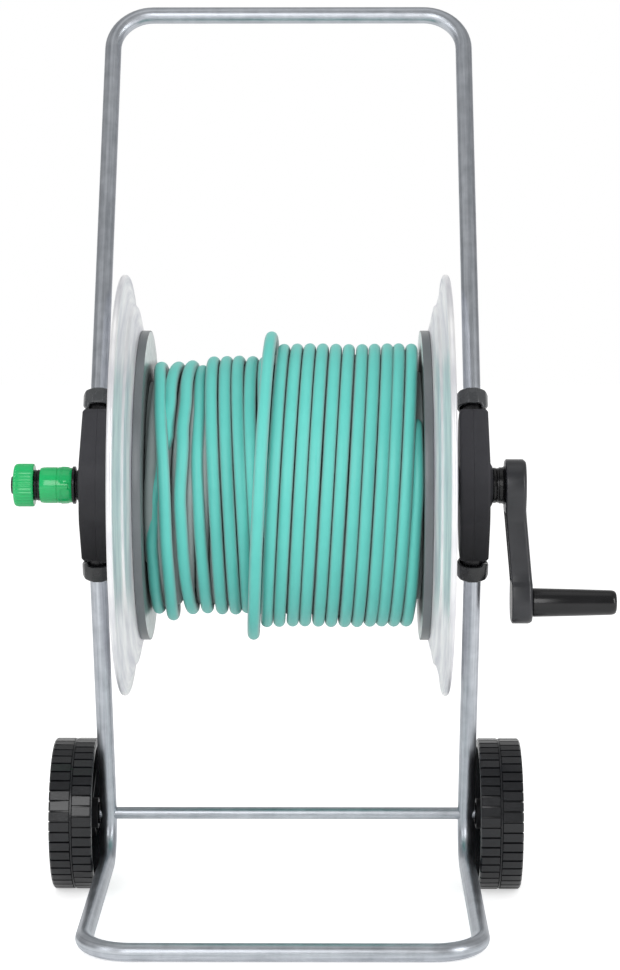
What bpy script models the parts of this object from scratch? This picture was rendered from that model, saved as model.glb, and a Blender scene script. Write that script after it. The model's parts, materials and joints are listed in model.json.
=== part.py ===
"""Hose reel cart: a bent tube frame on two wheels that carries a hand-cranked hose reel.

Metres, +Z up, +Y towards the back, +X towards the crank. The origin lies on the ground
under the middle of the foot bar. Left and right are seen from the front.
"""

import math

import bmesh
import bpy
import numpy as np
from mathutils import Matrix, Vector

# Clearances
GAP = 0.0003
RUNNING_GAP = 0.0004

# Facets round each turned piece, by its size
LARGE_STEPS = 28
DRUM_STEPS = 24
MID_STEPS = 14
SMALL_STEPS = 10
SCREW_STEPS = 6

# Frame tube
TUBE_R = 0.00825
TUBE_WALL = 0.0012
TUBE_SIDES = 8
TUBE_BEND_STEPS = 5
FRAME_HALF = 0.1775

# Upper handle tube
HANDLE_TOP_Y = 0.421
HANDLE_TOP_Z = 0.873
HANDLE_FORWARD = 0.0381
HANDLE_BEND_R = 0.040

# Lower base tube
REAR_CORNER_Y = 0.319
REAR_CORNER_Z = 0.032
LEG_FORWARD = 0.0451
REAR_BEND_R = 0.036
FOOT_BEND_R = 0.044

# Reel axis, and how far the two tubes stop from its height. Their lines pass it in front.
REEL_Y = 0.216
REEL_Z = 0.406
HANDLE_END_RISE = 0.036
LEG_END_DROP = 0.030

# Side brackets
BRACKET_INNER_DEPTH = 0.0131
BRACKET_OUTER_DEPTH = 0.0143
BRACKET_BOSS_HEIGHT = 0.0052
BRACKET_BOSS_R = 0.0175
BRACKET_BOSS_FOOT_R = 0.0275
BRACKET_BOSS_ROOT = 0.0020
BRACKET_BACK_R = 0.031
BRACKET_BACK_ANGLES = tuple(math.radians(50 - 20 * i) for i in range(6))
BRACKET_NECK_RISE = 0.0675
BRACKET_NECK_DROP = 0.0652
BRACKET_NECK_HALF = 0.0135
BRACKET_FRONT_WALL = 0.0045
BRACKET_CORNER_RISE = 0.0020
BRACKET_NOSE = 0.0030
NECK_R = 0.0120
NECK_LENGTH = 0.0170
NECK_ROOT = 0.0060
COLLAR_R = 0.0150
COLLAR_LENGTH = 0.0164
COLLAR_SLOT = 0.0042
COLLAR_EDGE = 0.0022

# Clamp screws through the half shells
CLAMP_SCREW_R = 0.0016
CLAMP_HEAD_R = 0.0035
CLAMP_HEAD_HEIGHT = 0.0024
CLAMP_SCREW_END = 0.0030
CLAMP_UPPER_OFFSET = 0.024
CLAMP_LOWER_OFFSET = 0.023
CLAMP_HEIGHT = 0.039

# Reel drum
DISC_R = 0.147
DISC_RIM_WIDTH = 0.007
DISC_INNER_X = 0.1277
DISC_OUTER_X = 0.1355
DISC_WEB = 0.0040
BARREL_R = 0.070
BARREL_WALL = 0.004
FLANGE_R = 0.200
FLANGE_SHEET = 0.0012
FLANGE_RIM_X = 0.1515
FLANGE_ROLL_R = 0.0030
FLANGE_SEAT_R = 0.060
FLANGE_STEP_R = 0.145
FLANGE_STEP_WIDTH = 0.008
FLANGE_BAND_X = 0.1470
FLANGE_MID_X = 0.1425

# Reel hubs
HUB_R = 0.0215
HUB_PLATE_R = 0.038
HUB_PLATE = 0.004
HUB_LENGTH = 0.0524
HUB_NECK_STEP = 0.0040
HUB_FILLET = 0.0020
HUB_SCREW_CIRCLE_R = 0.030
HUB_SCREW_R = 0.0022
HUB_SCREW_HEAD_R = 0.0042
HUB_SCREW_HEAD = 0.0025
HUB_SCREW_DOME = 0.0008
HUB_SCREWS = 3

# Thrust washers
THRUST_R = 0.0190
THRUST_THICK = 0.0014

# Wound hose
HOSE_R = 0.00575
HOSE_SIDES = 6
LOOP_POINTS = 24
LAYER_R = 0.1170
LAYER_STEP = 0.0120
LEFT_TOP_X = -0.1193
LEFT_PITCH = 0.0125
LEFT_SLANT = -0.0079
RIGHT_TOP_X = 0.1193
RIGHT_PITCH = 0.01207
RIGHT_SLANT = 0.0054
LEFT_LOOPS = 8
LAST_TOP = 20
START_TURN = -0.62
END_TURN = 20.70
END_BEND_R = 0.020
LAYER_EDGE_X = -0.0030

# Shares of a turn, after the left loops, over which the hose climbs, crosses and falls
FIRST_CLIMB = (0.0, 0.17)
CROSSING = (0.10, 0.33)
SECOND_CLIMB = (0.33, 0.50)
FALL = (1.33, 1.50)

# Water inlet
SPIGOT_R = 0.0090
SPIGOT_BORE_R = 0.0045
SPIGOT_SHORT = 0.0080
SWIVEL_SEAL_DEPTH = 0.0120
SPIGOT_CLAMP_R = 0.0140
SPIGOT_CLAMP_WIDTH = 0.0060
INLET_NECK_R = 0.0143
INLET_NECK = 0.0020
INLET_RING_R = 0.0180
INLET_RING = 0.0031
NIPPLE_R = 0.0068
NIPPLE_LENGTH = 0.0190
NIPPLE_SEAL_DEPTH = 0.0035
SEAL_WIDTH = 0.0024
SEAL_DEPTH = 0.0016
SLEEVE_R = 0.0173
SLEEVE_END_R = 0.0166
SLEEVE_LENGTH = 0.0306
SLEEVE_FRONT_TAPER = 0.0100
SLEEVE_BACK_TAPER = 0.0060
CORE_R = 0.0147
THREAD_DEPTH = 0.0012
CORE_NECK_LENGTH = 0.0057
CORE_TAIL_R = 0.00835
NUT_R = 0.0205
NUT_LENGTH = 0.0190
NUT_EDGE = 0.0015
NUT_END_WALL = 0.0030
TIP_LENGTH = 0.0029

# Outlet inside the drum
ELBOW_R = 0.0080
ELBOW_BORE_R = 0.0055
ELBOW_BEND_R = 0.0160
ELBOW_RUN = 0.0010

# Crank
SHAFT_R = 0.0080
SHAFT_SHORT = 0.0020
BUSH_R = 0.0120
BUSH_FLANGE_R = 0.0169
BUSH_FLANGE = 0.0028
CROSS_PIN_R = 0.0020
CROSS_PIN_DEPTH = 0.0060
CRANK_RADIUS = 0.112
CRANK_THICK = 0.0200
CRANK_DRIFT = 0.0065
CRANK_DRIFT_START = 0.20
CRANK_DRIFT_END = 0.84
CRANK_HEAD_R = 0.0250
CRANK_END_R = 0.0200
CRANK_WAIST = 0.0150
CRANK_CHANNEL_WALL = 0.0030
CRANK_CHANNEL_DEPTH = 0.0130
CRANK_HUB_R = 0.0173
CRANK_HUB_LENGTH = 0.0080
CRANK_FLARE = 0.0040
CRANK_FLARE_START = 0.0005
CRANK_FLARE_END = 0.0030
CRANK_FLARE_ROOT = 0.0060
SHAFT_RECESS = 0.0065
SCREW_RECESS = 0.0050
CRANK_SCREW_R = 0.0030
CRANK_SCREW_HEAD_R = 0.0075
CRANK_SCREW_HEAD = 0.0035
CRANK_SCREW_LENGTH = 0.0160
CRANK_SCREW_DOME = 0.0010
CRANK_ARC_POINTS = 8
CRANK_HEAD_ARC = (math.radians(-40), math.radians(220))
CRANK_END_ARC = (math.radians(140), math.radians(400))
CRANK_WAIST_SHARES = (0.32, 0.5, 0.68)
GRIP_ROOT_R = 0.0138
GRIP_END_R = 0.0119
GRIP_LENGTH = 0.0803
GRIP_PIN_R = 0.0040
GRIP_PIN_HEAD_R = 0.0065
GRIP_PIN_HEAD = 0.0030
GRIP_PIN_RECESS = 0.0010
GRIP_END_WALL = 0.0055
GRIP_END_ROUND = ((0.62, 0.0004), (0.88, 0.0018), (1.0, 0.0050))
GRIP_EDGE = 0.0010

# Wheels and axle
WHEEL_R = 0.0742
WHEEL_WIDTH = 0.0412
WHEEL_RIM = 0.008
WHEEL_EDGE = 0.002
WHEEL_HUB_R = 0.0150
WHEEL_HUB_PROUD = 0.0012
WHEEL_HUB_LENGTH = 0.0362
WHEEL_WEB_DEPTH = 0.0280
WHEEL_WEB = 0.0040
WHEEL_RIBS = 6
WHEEL_RIB_WIDTH = 0.0030
WHEEL_RIB_DEPTH = 0.0220
AXLE_R = 0.0060
WASHER_R = 0.0110
WASHER_THICK = 0.0010
CAP_R = 0.0100
CAP_WALL = 0.0016
CAP_DEPTH = 0.0060
CAP_EDGE = 0.0020

SIDES = (("left", -1), ("right", 1))
REEL_AXIS = Vector((0.0, REEL_Y, REEL_Z))
HANDLE_LEAN = math.atan((HANDLE_TOP_Y - REEL_Y + HANDLE_FORWARD) / (HANDLE_TOP_Z - REEL_Z))
LEG_LEAN = math.atan((REAR_CORNER_Y - REEL_Y + LEG_FORWARD) / (REEL_Z - REAR_CORNER_Z))
AXLE_Z = WHEEL_R
AXLE_Y = REAR_CORNER_Y - (AXLE_Z - REAR_CORNER_Z) * math.tan(LEG_LEAN)
AXLE_AXIS = Vector((0.0, AXLE_Y, AXLE_Z))
CRANK_AXIS = REEL_AXIS - Vector((0.0, 0.0, CRANK_RADIUS))

# Positions along X, built outwards from the frame
BRACKET_INNER_X = FRAME_HALF - BRACKET_INNER_DEPTH
BRACKET_OUTER_X = FRAME_HALF + BRACKET_OUTER_DEPTH
BOSS_X = BRACKET_OUTER_X + BRACKET_BOSS_HEIGHT
HUB_OUTER_X = BRACKET_INNER_X - THRUST_THICK - 2 * GAP
HUB_INNER_X = HUB_OUTER_X - HUB_LENGTH
SPIGOT_END_X = HUB_INNER_X + SPIGOT_SHORT
SWIVEL_SEAL_X = SPIGOT_END_X + SWIVEL_SEAL_DEPTH
SHAFT_INNER_X = HUB_INNER_X + SHAFT_SHORT
BUSH_END_X = BOSS_X + GAP + BUSH_FLANGE
CRANK_HUB_X = BUSH_END_X + RUNNING_GAP
CRANK_INNER_X = CRANK_HUB_X + CRANK_HUB_LENGTH
CRANK_OUTER_X = CRANK_INNER_X + CRANK_THICK
SHAFT_END_X = CRANK_OUTER_X - SHAFT_RECESS
SCREW_SEAT_X = CRANK_OUTER_X - SCREW_RECESS
PIN_HEAD_X = CRANK_INNER_X + CRANK_DRIFT + GRIP_PIN_RECESS
GRIP_X = CRANK_OUTER_X + CRANK_DRIFT + RUNNING_GAP
GRIP_TIP_X = GRIP_X + GRIP_LENGTH
WASHER_X = FRAME_HALF + TUBE_R + GAP
WHEEL_HUB_INNER_X = WASHER_X + WASHER_THICK + GAP
WHEEL_HUB_OUTER_X = WHEEL_HUB_INNER_X + WHEEL_HUB_LENGTH
WHEEL_INNER_X = WHEEL_HUB_INNER_X + WHEEL_HUB_PROUD
WHEEL_OUTER_X = WHEEL_INNER_X + WHEEL_WIDTH
WHEEL_WEB_X = WHEEL_INNER_X + WHEEL_WEB_DEPTH

ALONG_X = Matrix.Rotation(math.pi / 2, 4, "Y")
OUTLINE_TO_X = Matrix.Rotation(math.pi / 2, 4, "Z") @ Matrix.Rotation(math.pi / 2, 4, "X")


def clear_scene():
    for obj in list(bpy.data.objects):
        bpy.data.objects.remove(obj, do_unlink=True)


def make_collection(name):
    collection = bpy.data.collections.new(name)
    bpy.context.scene.collection.children.link(collection)
    return collection


clear_scene()
PARTS = make_collection("hose_reel_cart")
CUTTERS = make_collection("cutters")


def linear(channel):
    return channel / 12.92 if channel <= 0.04045 else ((channel + 0.055) / 1.055) ** 2.4


def make_material(name, hex_colour, roughness, metallic=0.0):
    material = bpy.data.materials.new(name)
    material.use_nodes = True
    shader = material.node_tree.nodes["Principled BSDF"]
    channels = [int(hex_colour[i : i + 2], 16) / 255 for i in (0, 2, 4)]
    shader.inputs["Base Color"].default_value = [*map(linear, channels), 1.0]
    shader.inputs["Roughness"].default_value = roughness
    shader.inputs["Metallic"].default_value = metallic
    return material


FINISHES = {
    "zinc": ("A9ADB5", 0.32, 1.0),
    "sheet": ("DDE0E6", 0.28, 1.0),
    "steel": ("9A9CA0", 0.35, 1.0),
    "black_plastic": ("303134", 0.55, 0.0),
    "wheel_plastic": ("38393C", 0.60, 0.0),
    "grip_plastic": ("2C2C2E", 0.35, 0.0),
    "grey_plastic": ("676F70", 0.50, 0.0),
    "green_plastic": ("1FB35C", 0.35, 0.0),
    "rubber": ("1C1C1E", 0.70, 0.0),
    "hose": ("5FB8AC", 0.45, 0.0),
    "hose_below": ("4F7F7A", 0.60, 0.0),
}


def place(name, data, finish, matrix, parent=None):
    """Adds a sub-part at a world matrix, under a parent empty if it turns with one."""
    obj = bpy.data.objects.new(name, data)
    PARTS.objects.link(obj)
    data.materials.clear()
    data.materials.append(make_material(name, *FINISHES[finish]))
    set_place(obj, matrix, parent)
    return obj


def set_place(obj, matrix, parent):
    if parent:
        obj.parent = parent
        matrix = Matrix.Translation(-parent.location) @ matrix
    obj.location, turn, _ = matrix.decompose()
    obj.rotation_euler = turn.to_euler()


def make_cutter(name, mesh, matrix):
    obj = bpy.data.objects.new(name, mesh)
    CUTTERS.objects.link(obj)
    obj.hide_render = True
    obj.display_type = "WIRE"
    set_place(obj, matrix, None)
    return obj


def make_axis(name, location):
    """An empty on a joint's axis, which carries the pieces that turn about it."""
    empty = bpy.data.objects.new(name, None)
    PARTS.objects.link(empty)
    empty.location = location
    return empty


def combine(obj, other, operation):
    modifier = obj.modifiers.new(operation.lower(), "BOOLEAN")
    modifier.operation = operation
    modifier.object = other
    modifier.solver = "EXACT"


def cut(obj, *cutters):
    for cutter in cutters:
        combine(obj, cutter, "DIFFERENCE")


def join(obj, *others):
    for other in others:
        combine(obj, other, "UNION")


def evaluated_mesh(obj):
    """The object's mesh with its modifiers applied, its caps welded."""
    bpy.context.view_layer.update()
    graph = bpy.context.evaluated_depsgraph_get()
    mesh = bpy.data.meshes.new_from_object(obj.evaluated_get(graph))
    work = bmesh.new()
    work.from_mesh(mesh)
    bmesh.ops.remove_doubles(work, verts=work.verts, dist=1e-6)
    work.to_mesh(mesh)
    work.free()
    return mesh


def mesh_of(obj):
    """Turns a temporary object into its finished mesh."""
    mesh = evaluated_mesh(obj)
    bpy.data.objects.remove(obj, do_unlink=True)
    return mesh


def smooth(mesh, angle=35):
    mesh.shade_smooth()
    mesh.set_sharp_from_angle(angle=math.radians(angle))
    return mesh


def turned_mesh(profile, steps):
    """Turns (radius, height) points about local Z. A loop off the axis closes on itself."""
    on_axis = profile[0][0] == 0
    area = sum(
        a[0] * b[1] - b[0] * a[1] for a, b in zip(profile, profile[1:] + profile[:1])
    )
    points = profile[::-1] if area > 0 else profile
    edges = [(i, i + 1) for i in range(len(points) - 1)]
    if not on_axis:
        edges.append((len(points) - 1, 0))
    mesh = bpy.data.meshes.new("profile")
    mesh.from_pydata([(radius, 0.0, height) for radius, height in points], edges, [])
    obj = bpy.data.objects.new("profile", mesh)
    CUTTERS.objects.link(obj)
    screw = obj.modifiers.new("turn", "SCREW")
    screw.axis = "Z"
    screw.angle = math.tau
    screw.steps = steps
    screw.render_steps = steps
    screw.use_merge_vertices = True
    screw.merge_threshold = 1e-5
    return smooth(mesh_of(obj))


def turned_about_x(name, profile, side, finish, axis, parent=None, steps=MID_STEPS):
    """A turned piece on an axis along X. The profile gives (radius, distance from the mid-plane)."""
    mesh = turned_mesh([(radius, side * x) for radius, x in profile], steps)
    return place(name, mesh, finish, Matrix.Translation(axis) @ ALONG_X, parent)


def around(radius, steps=MID_STEPS):
    """The corner radius of a faceted bore whose flats keep clear of this radius."""
    return radius / math.cos(math.pi / steps)


def cylinder_profile(radius, low, high):
    return [(0.0, high), (radius, high), (radius, low), (0.0, low)]


def ring_profile(outer, inner, low, high):
    return [(outer, high), (outer, low), (inner, low), (inner, high)]


def rod_cutter(name, start, end, radius, vertices=SMALL_STEPS):
    """A cylinder from start to end for Booleans, whose flats lie at the radius."""
    start, end = Vector(start), Vector(end)
    mesh = bpy.data.meshes.new(name)
    work = bmesh.new()
    bmesh.ops.create_cone(
        work,
        cap_ends=True,
        segments=vertices,
        radius1=around(radius, vertices),
        radius2=around(radius, vertices),
        depth=(end - start).length,
    )
    work.to_mesh(mesh)
    work.free()
    turn = (end - start).to_track_quat("Z", "Y").to_matrix().to_4x4()
    return make_cutter(name, mesh, Matrix.Translation((start + end) / 2) @ turn)


def box_cutter(name, low, high, matrix=Matrix()):
    low, high = Vector(low), Vector(high)
    mesh = bpy.data.meshes.new(name)
    work = bmesh.new()
    bmesh.ops.create_cube(work, size=1.0)
    bmesh.ops.scale(work, verts=work.verts, vec=high - low)
    work.to_mesh(mesh)
    work.free()
    return make_cutter(name, mesh, matrix @ Matrix.Translation((low + high) / 2))


def outline_mesh(outline, thickness):
    """A flat outline of (y, z) points as a plate, with its thickness along local Z."""
    curve = bpy.data.curves.new("outline", "CURVE")
    curve.dimensions = "2D"
    curve.fill_mode = "BOTH"
    curve.extrude = thickness / 2
    spline = curve.splines.new("POLY")
    spline.points.add(len(outline) - 1)
    for point, (y, z) in zip(spline.points, outline):
        point.co = (y, z, 0.0, 1.0)
    spline.use_cyclic_u = True
    obj = bpy.data.objects.new("outline", curve)
    CUTTERS.objects.link(obj)
    return mesh_of(obj)


def outline_matrix(x, axis):
    """Carries an outline's plate to the plane at x, with its (y, z) measured from the axis."""
    return Matrix.Translation((x, axis.y, axis.z)) @ OUTLINE_TO_X


def bent_path(corners, radii, steps):
    """A polyline whose inner corners are rounded. Each radius belongs to one inner corner."""
    points = [Vector(corners[0])]
    for before, corner, after, radius in zip(corners, corners[1:], corners[2:], radii):
        into = (Vector(corner) - Vector(before)).normalized()
        out = (Vector(after) - Vector(corner)).normalized()
        turn = into.angle(out)
        start = Vector(corner) - into * radius * math.tan(turn / 2)
        inward = (out - into * into.dot(out)).normalized()
        for i in range(steps + 1):
            angle = turn * i / steps
            along = into * radius * math.sin(angle)
            points.append(start + along + inward * radius * (1 - math.cos(angle)))
    points.append(Vector(corners[-1]))
    return points


def tube_mesh(points, radius, resolution, tilt=0.0):
    """A solid tube along the points. Its sides number 4 + 2 * resolution."""
    curve = bpy.data.curves.new("tube", "CURVE")
    curve.dimensions = "3D"
    curve.bevel_depth = radius
    curve.bevel_resolution = resolution
    curve.use_fill_caps = True
    spline = curve.splines.new("POLY")
    spline.points.add(len(points) - 1)
    for point, place_at in zip(spline.points, points):
        point.co = (*place_at, 1.0)
        point.tilt = tilt
    obj = bpy.data.objects.new("tube", curve)
    CUTTERS.objects.link(obj)
    return smooth(mesh_of(obj), 50)


def extended(points, length):
    """The same route, run on straight past both ends."""
    start = points[0] + (points[0] - points[1]).normalized() * length
    end = points[-1] + (points[-1] - points[-2]).normalized() * length
    return [start, *points[1:-1], end]


# Frame: two bent tubes, drilled for the axle

REACH = 0.05


def handle_y(z):
    """Where the handle tube's centreline lies at a height."""
    return HANDLE_TOP_Y - (HANDLE_TOP_Z - z) * math.tan(HANDLE_LEAN)


def leg_y(z):
    """Where the lower leg's centreline lies at a height."""
    return REAR_CORNER_Y - (z - REAR_CORNER_Z) * math.tan(LEG_LEAN)


def frame_tube(name, corners, radii, tilt=0.0):
    """A bent tube with its bore cut right through. The tilt turns its flats about its centreline."""
    route = bent_path(corners, radii, TUBE_BEND_STEPS)
    resolution = (TUBE_SIDES - 4) // 2
    tube = place(name, tube_mesh(route, TUBE_R, resolution, tilt), "zinc", Matrix())
    bore = tube_mesh(extended(route, REACH), TUBE_R - TUBE_WALL, resolution, tilt)
    cut(tube, make_cutter(name + "_bore", bore, Matrix()))
    return tube


HANDLE_END_Z = REEL_Z + HANDLE_END_RISE
LEG_END_Z = REEL_Z - LEG_END_DROP
BAR_Z = TUBE_R * math.cos(math.pi / TUBE_SIDES)


def build_frame():
    frame_tube(
        "handle_tube",
        [
            (-FRAME_HALF, handle_y(HANDLE_END_Z), HANDLE_END_Z),
            (-FRAME_HALF, HANDLE_TOP_Y, HANDLE_TOP_Z),
            (FRAME_HALF, HANDLE_TOP_Y, HANDLE_TOP_Z),
            (FRAME_HALF, handle_y(HANDLE_END_Z), HANDLE_END_Z),
        ],
        [HANDLE_BEND_R, HANDLE_BEND_R],
    )
    foot_slope = math.atan2(REAR_CORNER_Z - BAR_Z, REAR_CORNER_Y)
    half_side = math.pi / TUBE_SIDES
    base = frame_tube(
        "base_tube",
        [
            (-FRAME_HALF, leg_y(LEG_END_Z), LEG_END_Z),
            (-FRAME_HALF, REAR_CORNER_Y, REAR_CORNER_Z),
            (-FRAME_HALF, 0.0, BAR_Z),
            (FRAME_HALF, 0.0, BAR_Z),
            (FRAME_HALF, REAR_CORNER_Y, REAR_CORNER_Z),
            (FRAME_HALF, leg_y(LEG_END_Z), LEG_END_Z),
        ],
        [REAR_BEND_R, FOOT_BEND_R, FOOT_BEND_R, REAR_BEND_R],
        half_side - foot_slope,
    )
    reach = Vector((FRAME_HALF + REACH, 0.0, 0.0))
    cut(base, rod_cutter("axle_hole", AXLE_AXIS - reach, AXLE_AXIS + reach, AXLE_R + GAP))


# Side brackets: two half shells over the tube ends, held by collars and screws

HANDLE_DIR = Vector((0.0, math.sin(HANDLE_LEAN), math.cos(HANDLE_LEAN)))
LEG_DIR = Vector((0.0, math.sin(LEG_LEAN), -math.cos(LEG_LEAN)))


def bracket_outline():
    """The bracket seen from the side, as (y, z) from the reel axis."""
    top = Vector((handle_y(REEL_Z + BRACKET_NECK_RISE) - REEL_Y, BRACKET_NECK_RISE))
    low = Vector((leg_y(REEL_Z - BRACKET_NECK_DROP) - REEL_Y, -BRACKET_NECK_DROP))
    top_back = Vector((math.cos(HANDLE_LEAN), -math.sin(HANDLE_LEAN))) * BRACKET_NECK_HALF
    low_back = Vector((math.cos(LEG_LEAN), math.sin(LEG_LEAN))) * BRACKET_NECK_HALF
    front = TUBE_R + BRACKET_FRONT_WALL
    handle_front = handle_y(HANDLE_END_Z) - REEL_Y - front / math.cos(HANDLE_LEAN)
    leg_front = leg_y(LEG_END_Z) - REEL_Y - front / math.cos(LEG_LEAN)
    back = [
        (BRACKET_BACK_R * math.cos(angle), BRACKET_BACK_R * math.sin(angle))
        for angle in BRACKET_BACK_ANGLES
    ]
    return [
        tuple(top - top_back),
        tuple(top + top_back),
        *back,
        tuple(low + low_back),
        tuple(low - low_back),
        (leg_front, -LEG_END_DROP - BRACKET_CORNER_RISE),
        ((leg_front + handle_front) / 2 - BRACKET_NOSE, 0.0),
        (handle_front, HANDLE_END_RISE + BRACKET_CORNER_RISE),
    ]


TUBE_ENDS = (
    ("upper", REEL_Z + BRACKET_NECK_RISE, HANDLE_DIR, handle_y),
    ("lower", REEL_Z - BRACKET_NECK_DROP, LEG_DIR, leg_y),
)


def bracket_necks(side, tag):
    """Round necks on the bracket's ends, under the collars."""
    necks = []
    neck_flat = NECK_R * math.cos(math.pi / SMALL_STEPS)
    for end, seat_z, direction, line_y in TUBE_ENDS:
        seat = Vector((side * FRAME_HALF, line_y(seat_z), seat_z))
        start = seat - direction * NECK_ROOT
        tip = seat + direction * NECK_LENGTH
        necks.append(rod_cutter(f"{tag}_{end}_neck", start, tip, neck_flat))
    return necks


def clamp_screw_places():
    """Where the clamp screws pass the bracket, as end names and (y, z)."""
    upper_z = REEL_Z + CLAMP_HEIGHT
    lower_z = REEL_Z - CLAMP_HEIGHT
    return (
        ("upper", handle_y(upper_z) + CLAMP_UPPER_OFFSET, upper_z),
        ("lower", leg_y(lower_z) + CLAMP_LOWER_OFFSET, lower_z),
    )


def bracket_tools(tag, side):
    """The shapes that both half shells of one bracket are cut by or joined with."""
    x = side * FRAME_HALF
    boss_root = BRACKET_OUTER_X - BRACKET_BOSS_ROOT
    boss_profile = [
        (0.0, BOSS_X),
        (BRACKET_BOSS_R, BOSS_X),
        (BRACKET_BOSS_FOOT_R, boss_root),
        (0.0, boss_root),
    ]
    boss = turned_mesh([(radius, side * reach) for radius, reach in boss_profile], MID_STEPS)
    boss = make_cutter(tag + "_boss", boss, Matrix.Translation(REEL_AXIS) @ ALONG_X)
    upper_end = Vector((x, handle_y(HANDLE_END_Z), HANDLE_END_Z)) - HANDLE_DIR * GAP
    lower_end = Vector((x, leg_y(LEG_END_Z), LEG_END_Z)) - LEG_DIR * GAP
    sockets = [
        rod_cutter(
            tag + "_upper_socket", upper_end, upper_end + HANDLE_DIR * 2 * REACH, TUBE_R + GAP
        ),
        rod_cutter(
            tag + "_lower_socket", lower_end, lower_end + LEG_DIR * 2 * REACH, TUBE_R + GAP
        ),
    ]
    if side < 0:
        bore_r, pocket_r, pocket = SPIGOT_R, SPIGOT_CLAMP_R, SPIGOT_CLAMP_WIDTH
    else:
        bore_r, pocket_r, pocket = BUSH_R, BUSH_R + BUSH_FLANGE, SPIGOT_CLAMP_WIDTH
    centre = REEL_AXIS + Vector((x, 0.0, 0.0))
    half_pocket = Vector((pocket / 2 + GAP, 0.0, 0.0))
    bore_reach = Vector((REACH, 0.0, 0.0))
    bores = [
        rod_cutter(
            tag + "_bore",
            centre - bore_reach,
            centre + bore_reach,
            bore_r + RUNNING_GAP,
            MID_STEPS,
        ),
        rod_cutter(
            tag + "_pocket", centre - half_pocket, centre + half_pocket, pocket_r + GAP, MID_STEPS
        ),
    ]
    screws = []
    for end, y, z in clamp_screw_places():
        head_x = side * (BRACKET_OUTER_X - CLAMP_HEAD_HEIGHT - GAP)
        screws.append(
            rod_cutter(
                f"{tag}_{end}_screw_hole",
                (side * (BRACKET_INNER_X + CLAMP_SCREW_END - GAP), y, z),
                (side * (BRACKET_OUTER_X + REACH), y, z),
                CLAMP_SCREW_R + GAP,
                SCREW_STEPS,
            )
        )
        screws.append(
            rod_cutter(
                f"{tag}_{end}_screw_head_hole",
                (head_x, y, z),
                (side * (BRACKET_OUTER_X + REACH), y, z),
                CLAMP_HEAD_R + GAP,
                SCREW_STEPS,
            )
        )
    return boss, sockets, bores, screws


def build_brackets():
    outline = bracket_outline()
    thickness = BRACKET_OUTER_X - BRACKET_INNER_X
    middle_x = (BRACKET_OUTER_X + BRACKET_INNER_X) / 2
    for tag, side in SIDES:
        boss, sockets, bores, screws = bracket_tools(tag, side)
        necks = bracket_necks(side, tag)
        for layer, away in (("outer", -side), ("inner", side)):
            seam = side * FRAME_HALF - away * GAP / 2
            low_x, high_x = sorted((seam, seam + away * REACH))
            beyond = box_cutter(
                f"{tag}_{layer}_beyond",
                (low_x, REEL_Y - 2 * BRACKET_NECK_RISE, REEL_Z - 2 * BRACKET_NECK_RISE),
                (high_x, REEL_Y + 2 * BRACKET_NECK_RISE, REEL_Z + 2 * BRACKET_NECK_RISE),
            )
            body = outline_mesh(outline, thickness)
            shell = place(
                f"{tag}_bracket_{layer}",
                body,
                "black_plastic",
                outline_matrix(side * middle_x, REEL_AXIS),
            )
            join(shell, *necks)
            if layer == "outer":
                join(shell, boss)
            cut(shell, beyond, *sockets, *bores, *screws)


def build_collars():
    high = COLLAR_SLOT + COLLAR_LENGTH
    lip = NECK_LENGTH + GAP
    neck_bore = around(NECK_R + GAP, SMALL_STEPS)
    tube_bore = around(TUBE_R + GAP, SMALL_STEPS)
    profile = [
        (COLLAR_R - COLLAR_EDGE, high),
        (COLLAR_R, high - COLLAR_EDGE),
        (COLLAR_R, COLLAR_SLOT),
        (neck_bore, COLLAR_SLOT),
        (neck_bore, lip),
        (tube_bore, lip),
        (tube_bore, high),
    ]
    for tag, side in SIDES:
        for end, seat_z, direction, line_y in TUBE_ENDS:
            seat = Vector((side * FRAME_HALF, line_y(seat_z), seat_z))
            turn = direction.to_track_quat("Z", "Y").to_matrix().to_4x4()
            mesh = turned_mesh(profile, SMALL_STEPS)
            place(f"{tag}_collar_{end}", mesh, "black_plastic", Matrix.Translation(seat) @ turn)


def build_clamp_screws():
    for tag, side in SIDES:
        for end, y, z in clamp_screw_places():
            profile = [
                (0.0, BRACKET_OUTER_X),
                (CLAMP_HEAD_R, BRACKET_OUTER_X),
                (CLAMP_HEAD_R, BRACKET_OUTER_X - CLAMP_HEAD_HEIGHT),
                (CLAMP_SCREW_R, BRACKET_OUTER_X - CLAMP_HEAD_HEIGHT),
                (CLAMP_SCREW_R, BRACKET_INNER_X + CLAMP_SCREW_END),
                (0.0, BRACKET_INNER_X + CLAMP_SCREW_END),
            ]
            turned_about_x(
                f"{tag}_clamp_screw_{end}",
                profile,
                side,
                "steel",
                Vector((0, y, z)),
                steps=SCREW_STEPS,
            )


# Water inlet on the left: a spigot clamped in the bracket, and a push-fit hose connector

INLET_X = BOSS_X + GAP
RING_X = INLET_X + INLET_NECK
CONNECTOR_X = RING_X + INLET_RING + GAP
NIPPLE_END_X = CONNECTOR_X + NIPPLE_LENGTH
SLEEVE_END_X = CONNECTOR_X + SLEEVE_LENGTH
NUT_X = SLEEVE_END_X + CORE_NECK_LENGTH
NUT_END_X = NUT_X + NUT_LENGTH
TIP_X = NUT_END_X + TIP_LENGTH
NIPPLE_SEAL_X = CONNECTOR_X + NIPPLE_SEAL_DEPTH


def groove(radius, x):
    """Profile points of a seal's groove, met while the distance shrinks."""
    half = SEAL_WIDTH / 2 + GAP
    return [
        (radius, x + half),
        (radius - SEAL_DEPTH, x + half),
        (radius - SEAL_DEPTH, x - half),
        (radius, x - half),
    ]


def seal_profile(radius, x):
    """A rubber ring in such a groove, just proud of it."""
    inner = around(radius - SEAL_DEPTH + GAP / 2, SMALL_STEPS)
    return ring_profile(radius + GAP / 2, inner, x - SEAL_WIDTH / 2, x + SEAL_WIDTH / 2)


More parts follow.
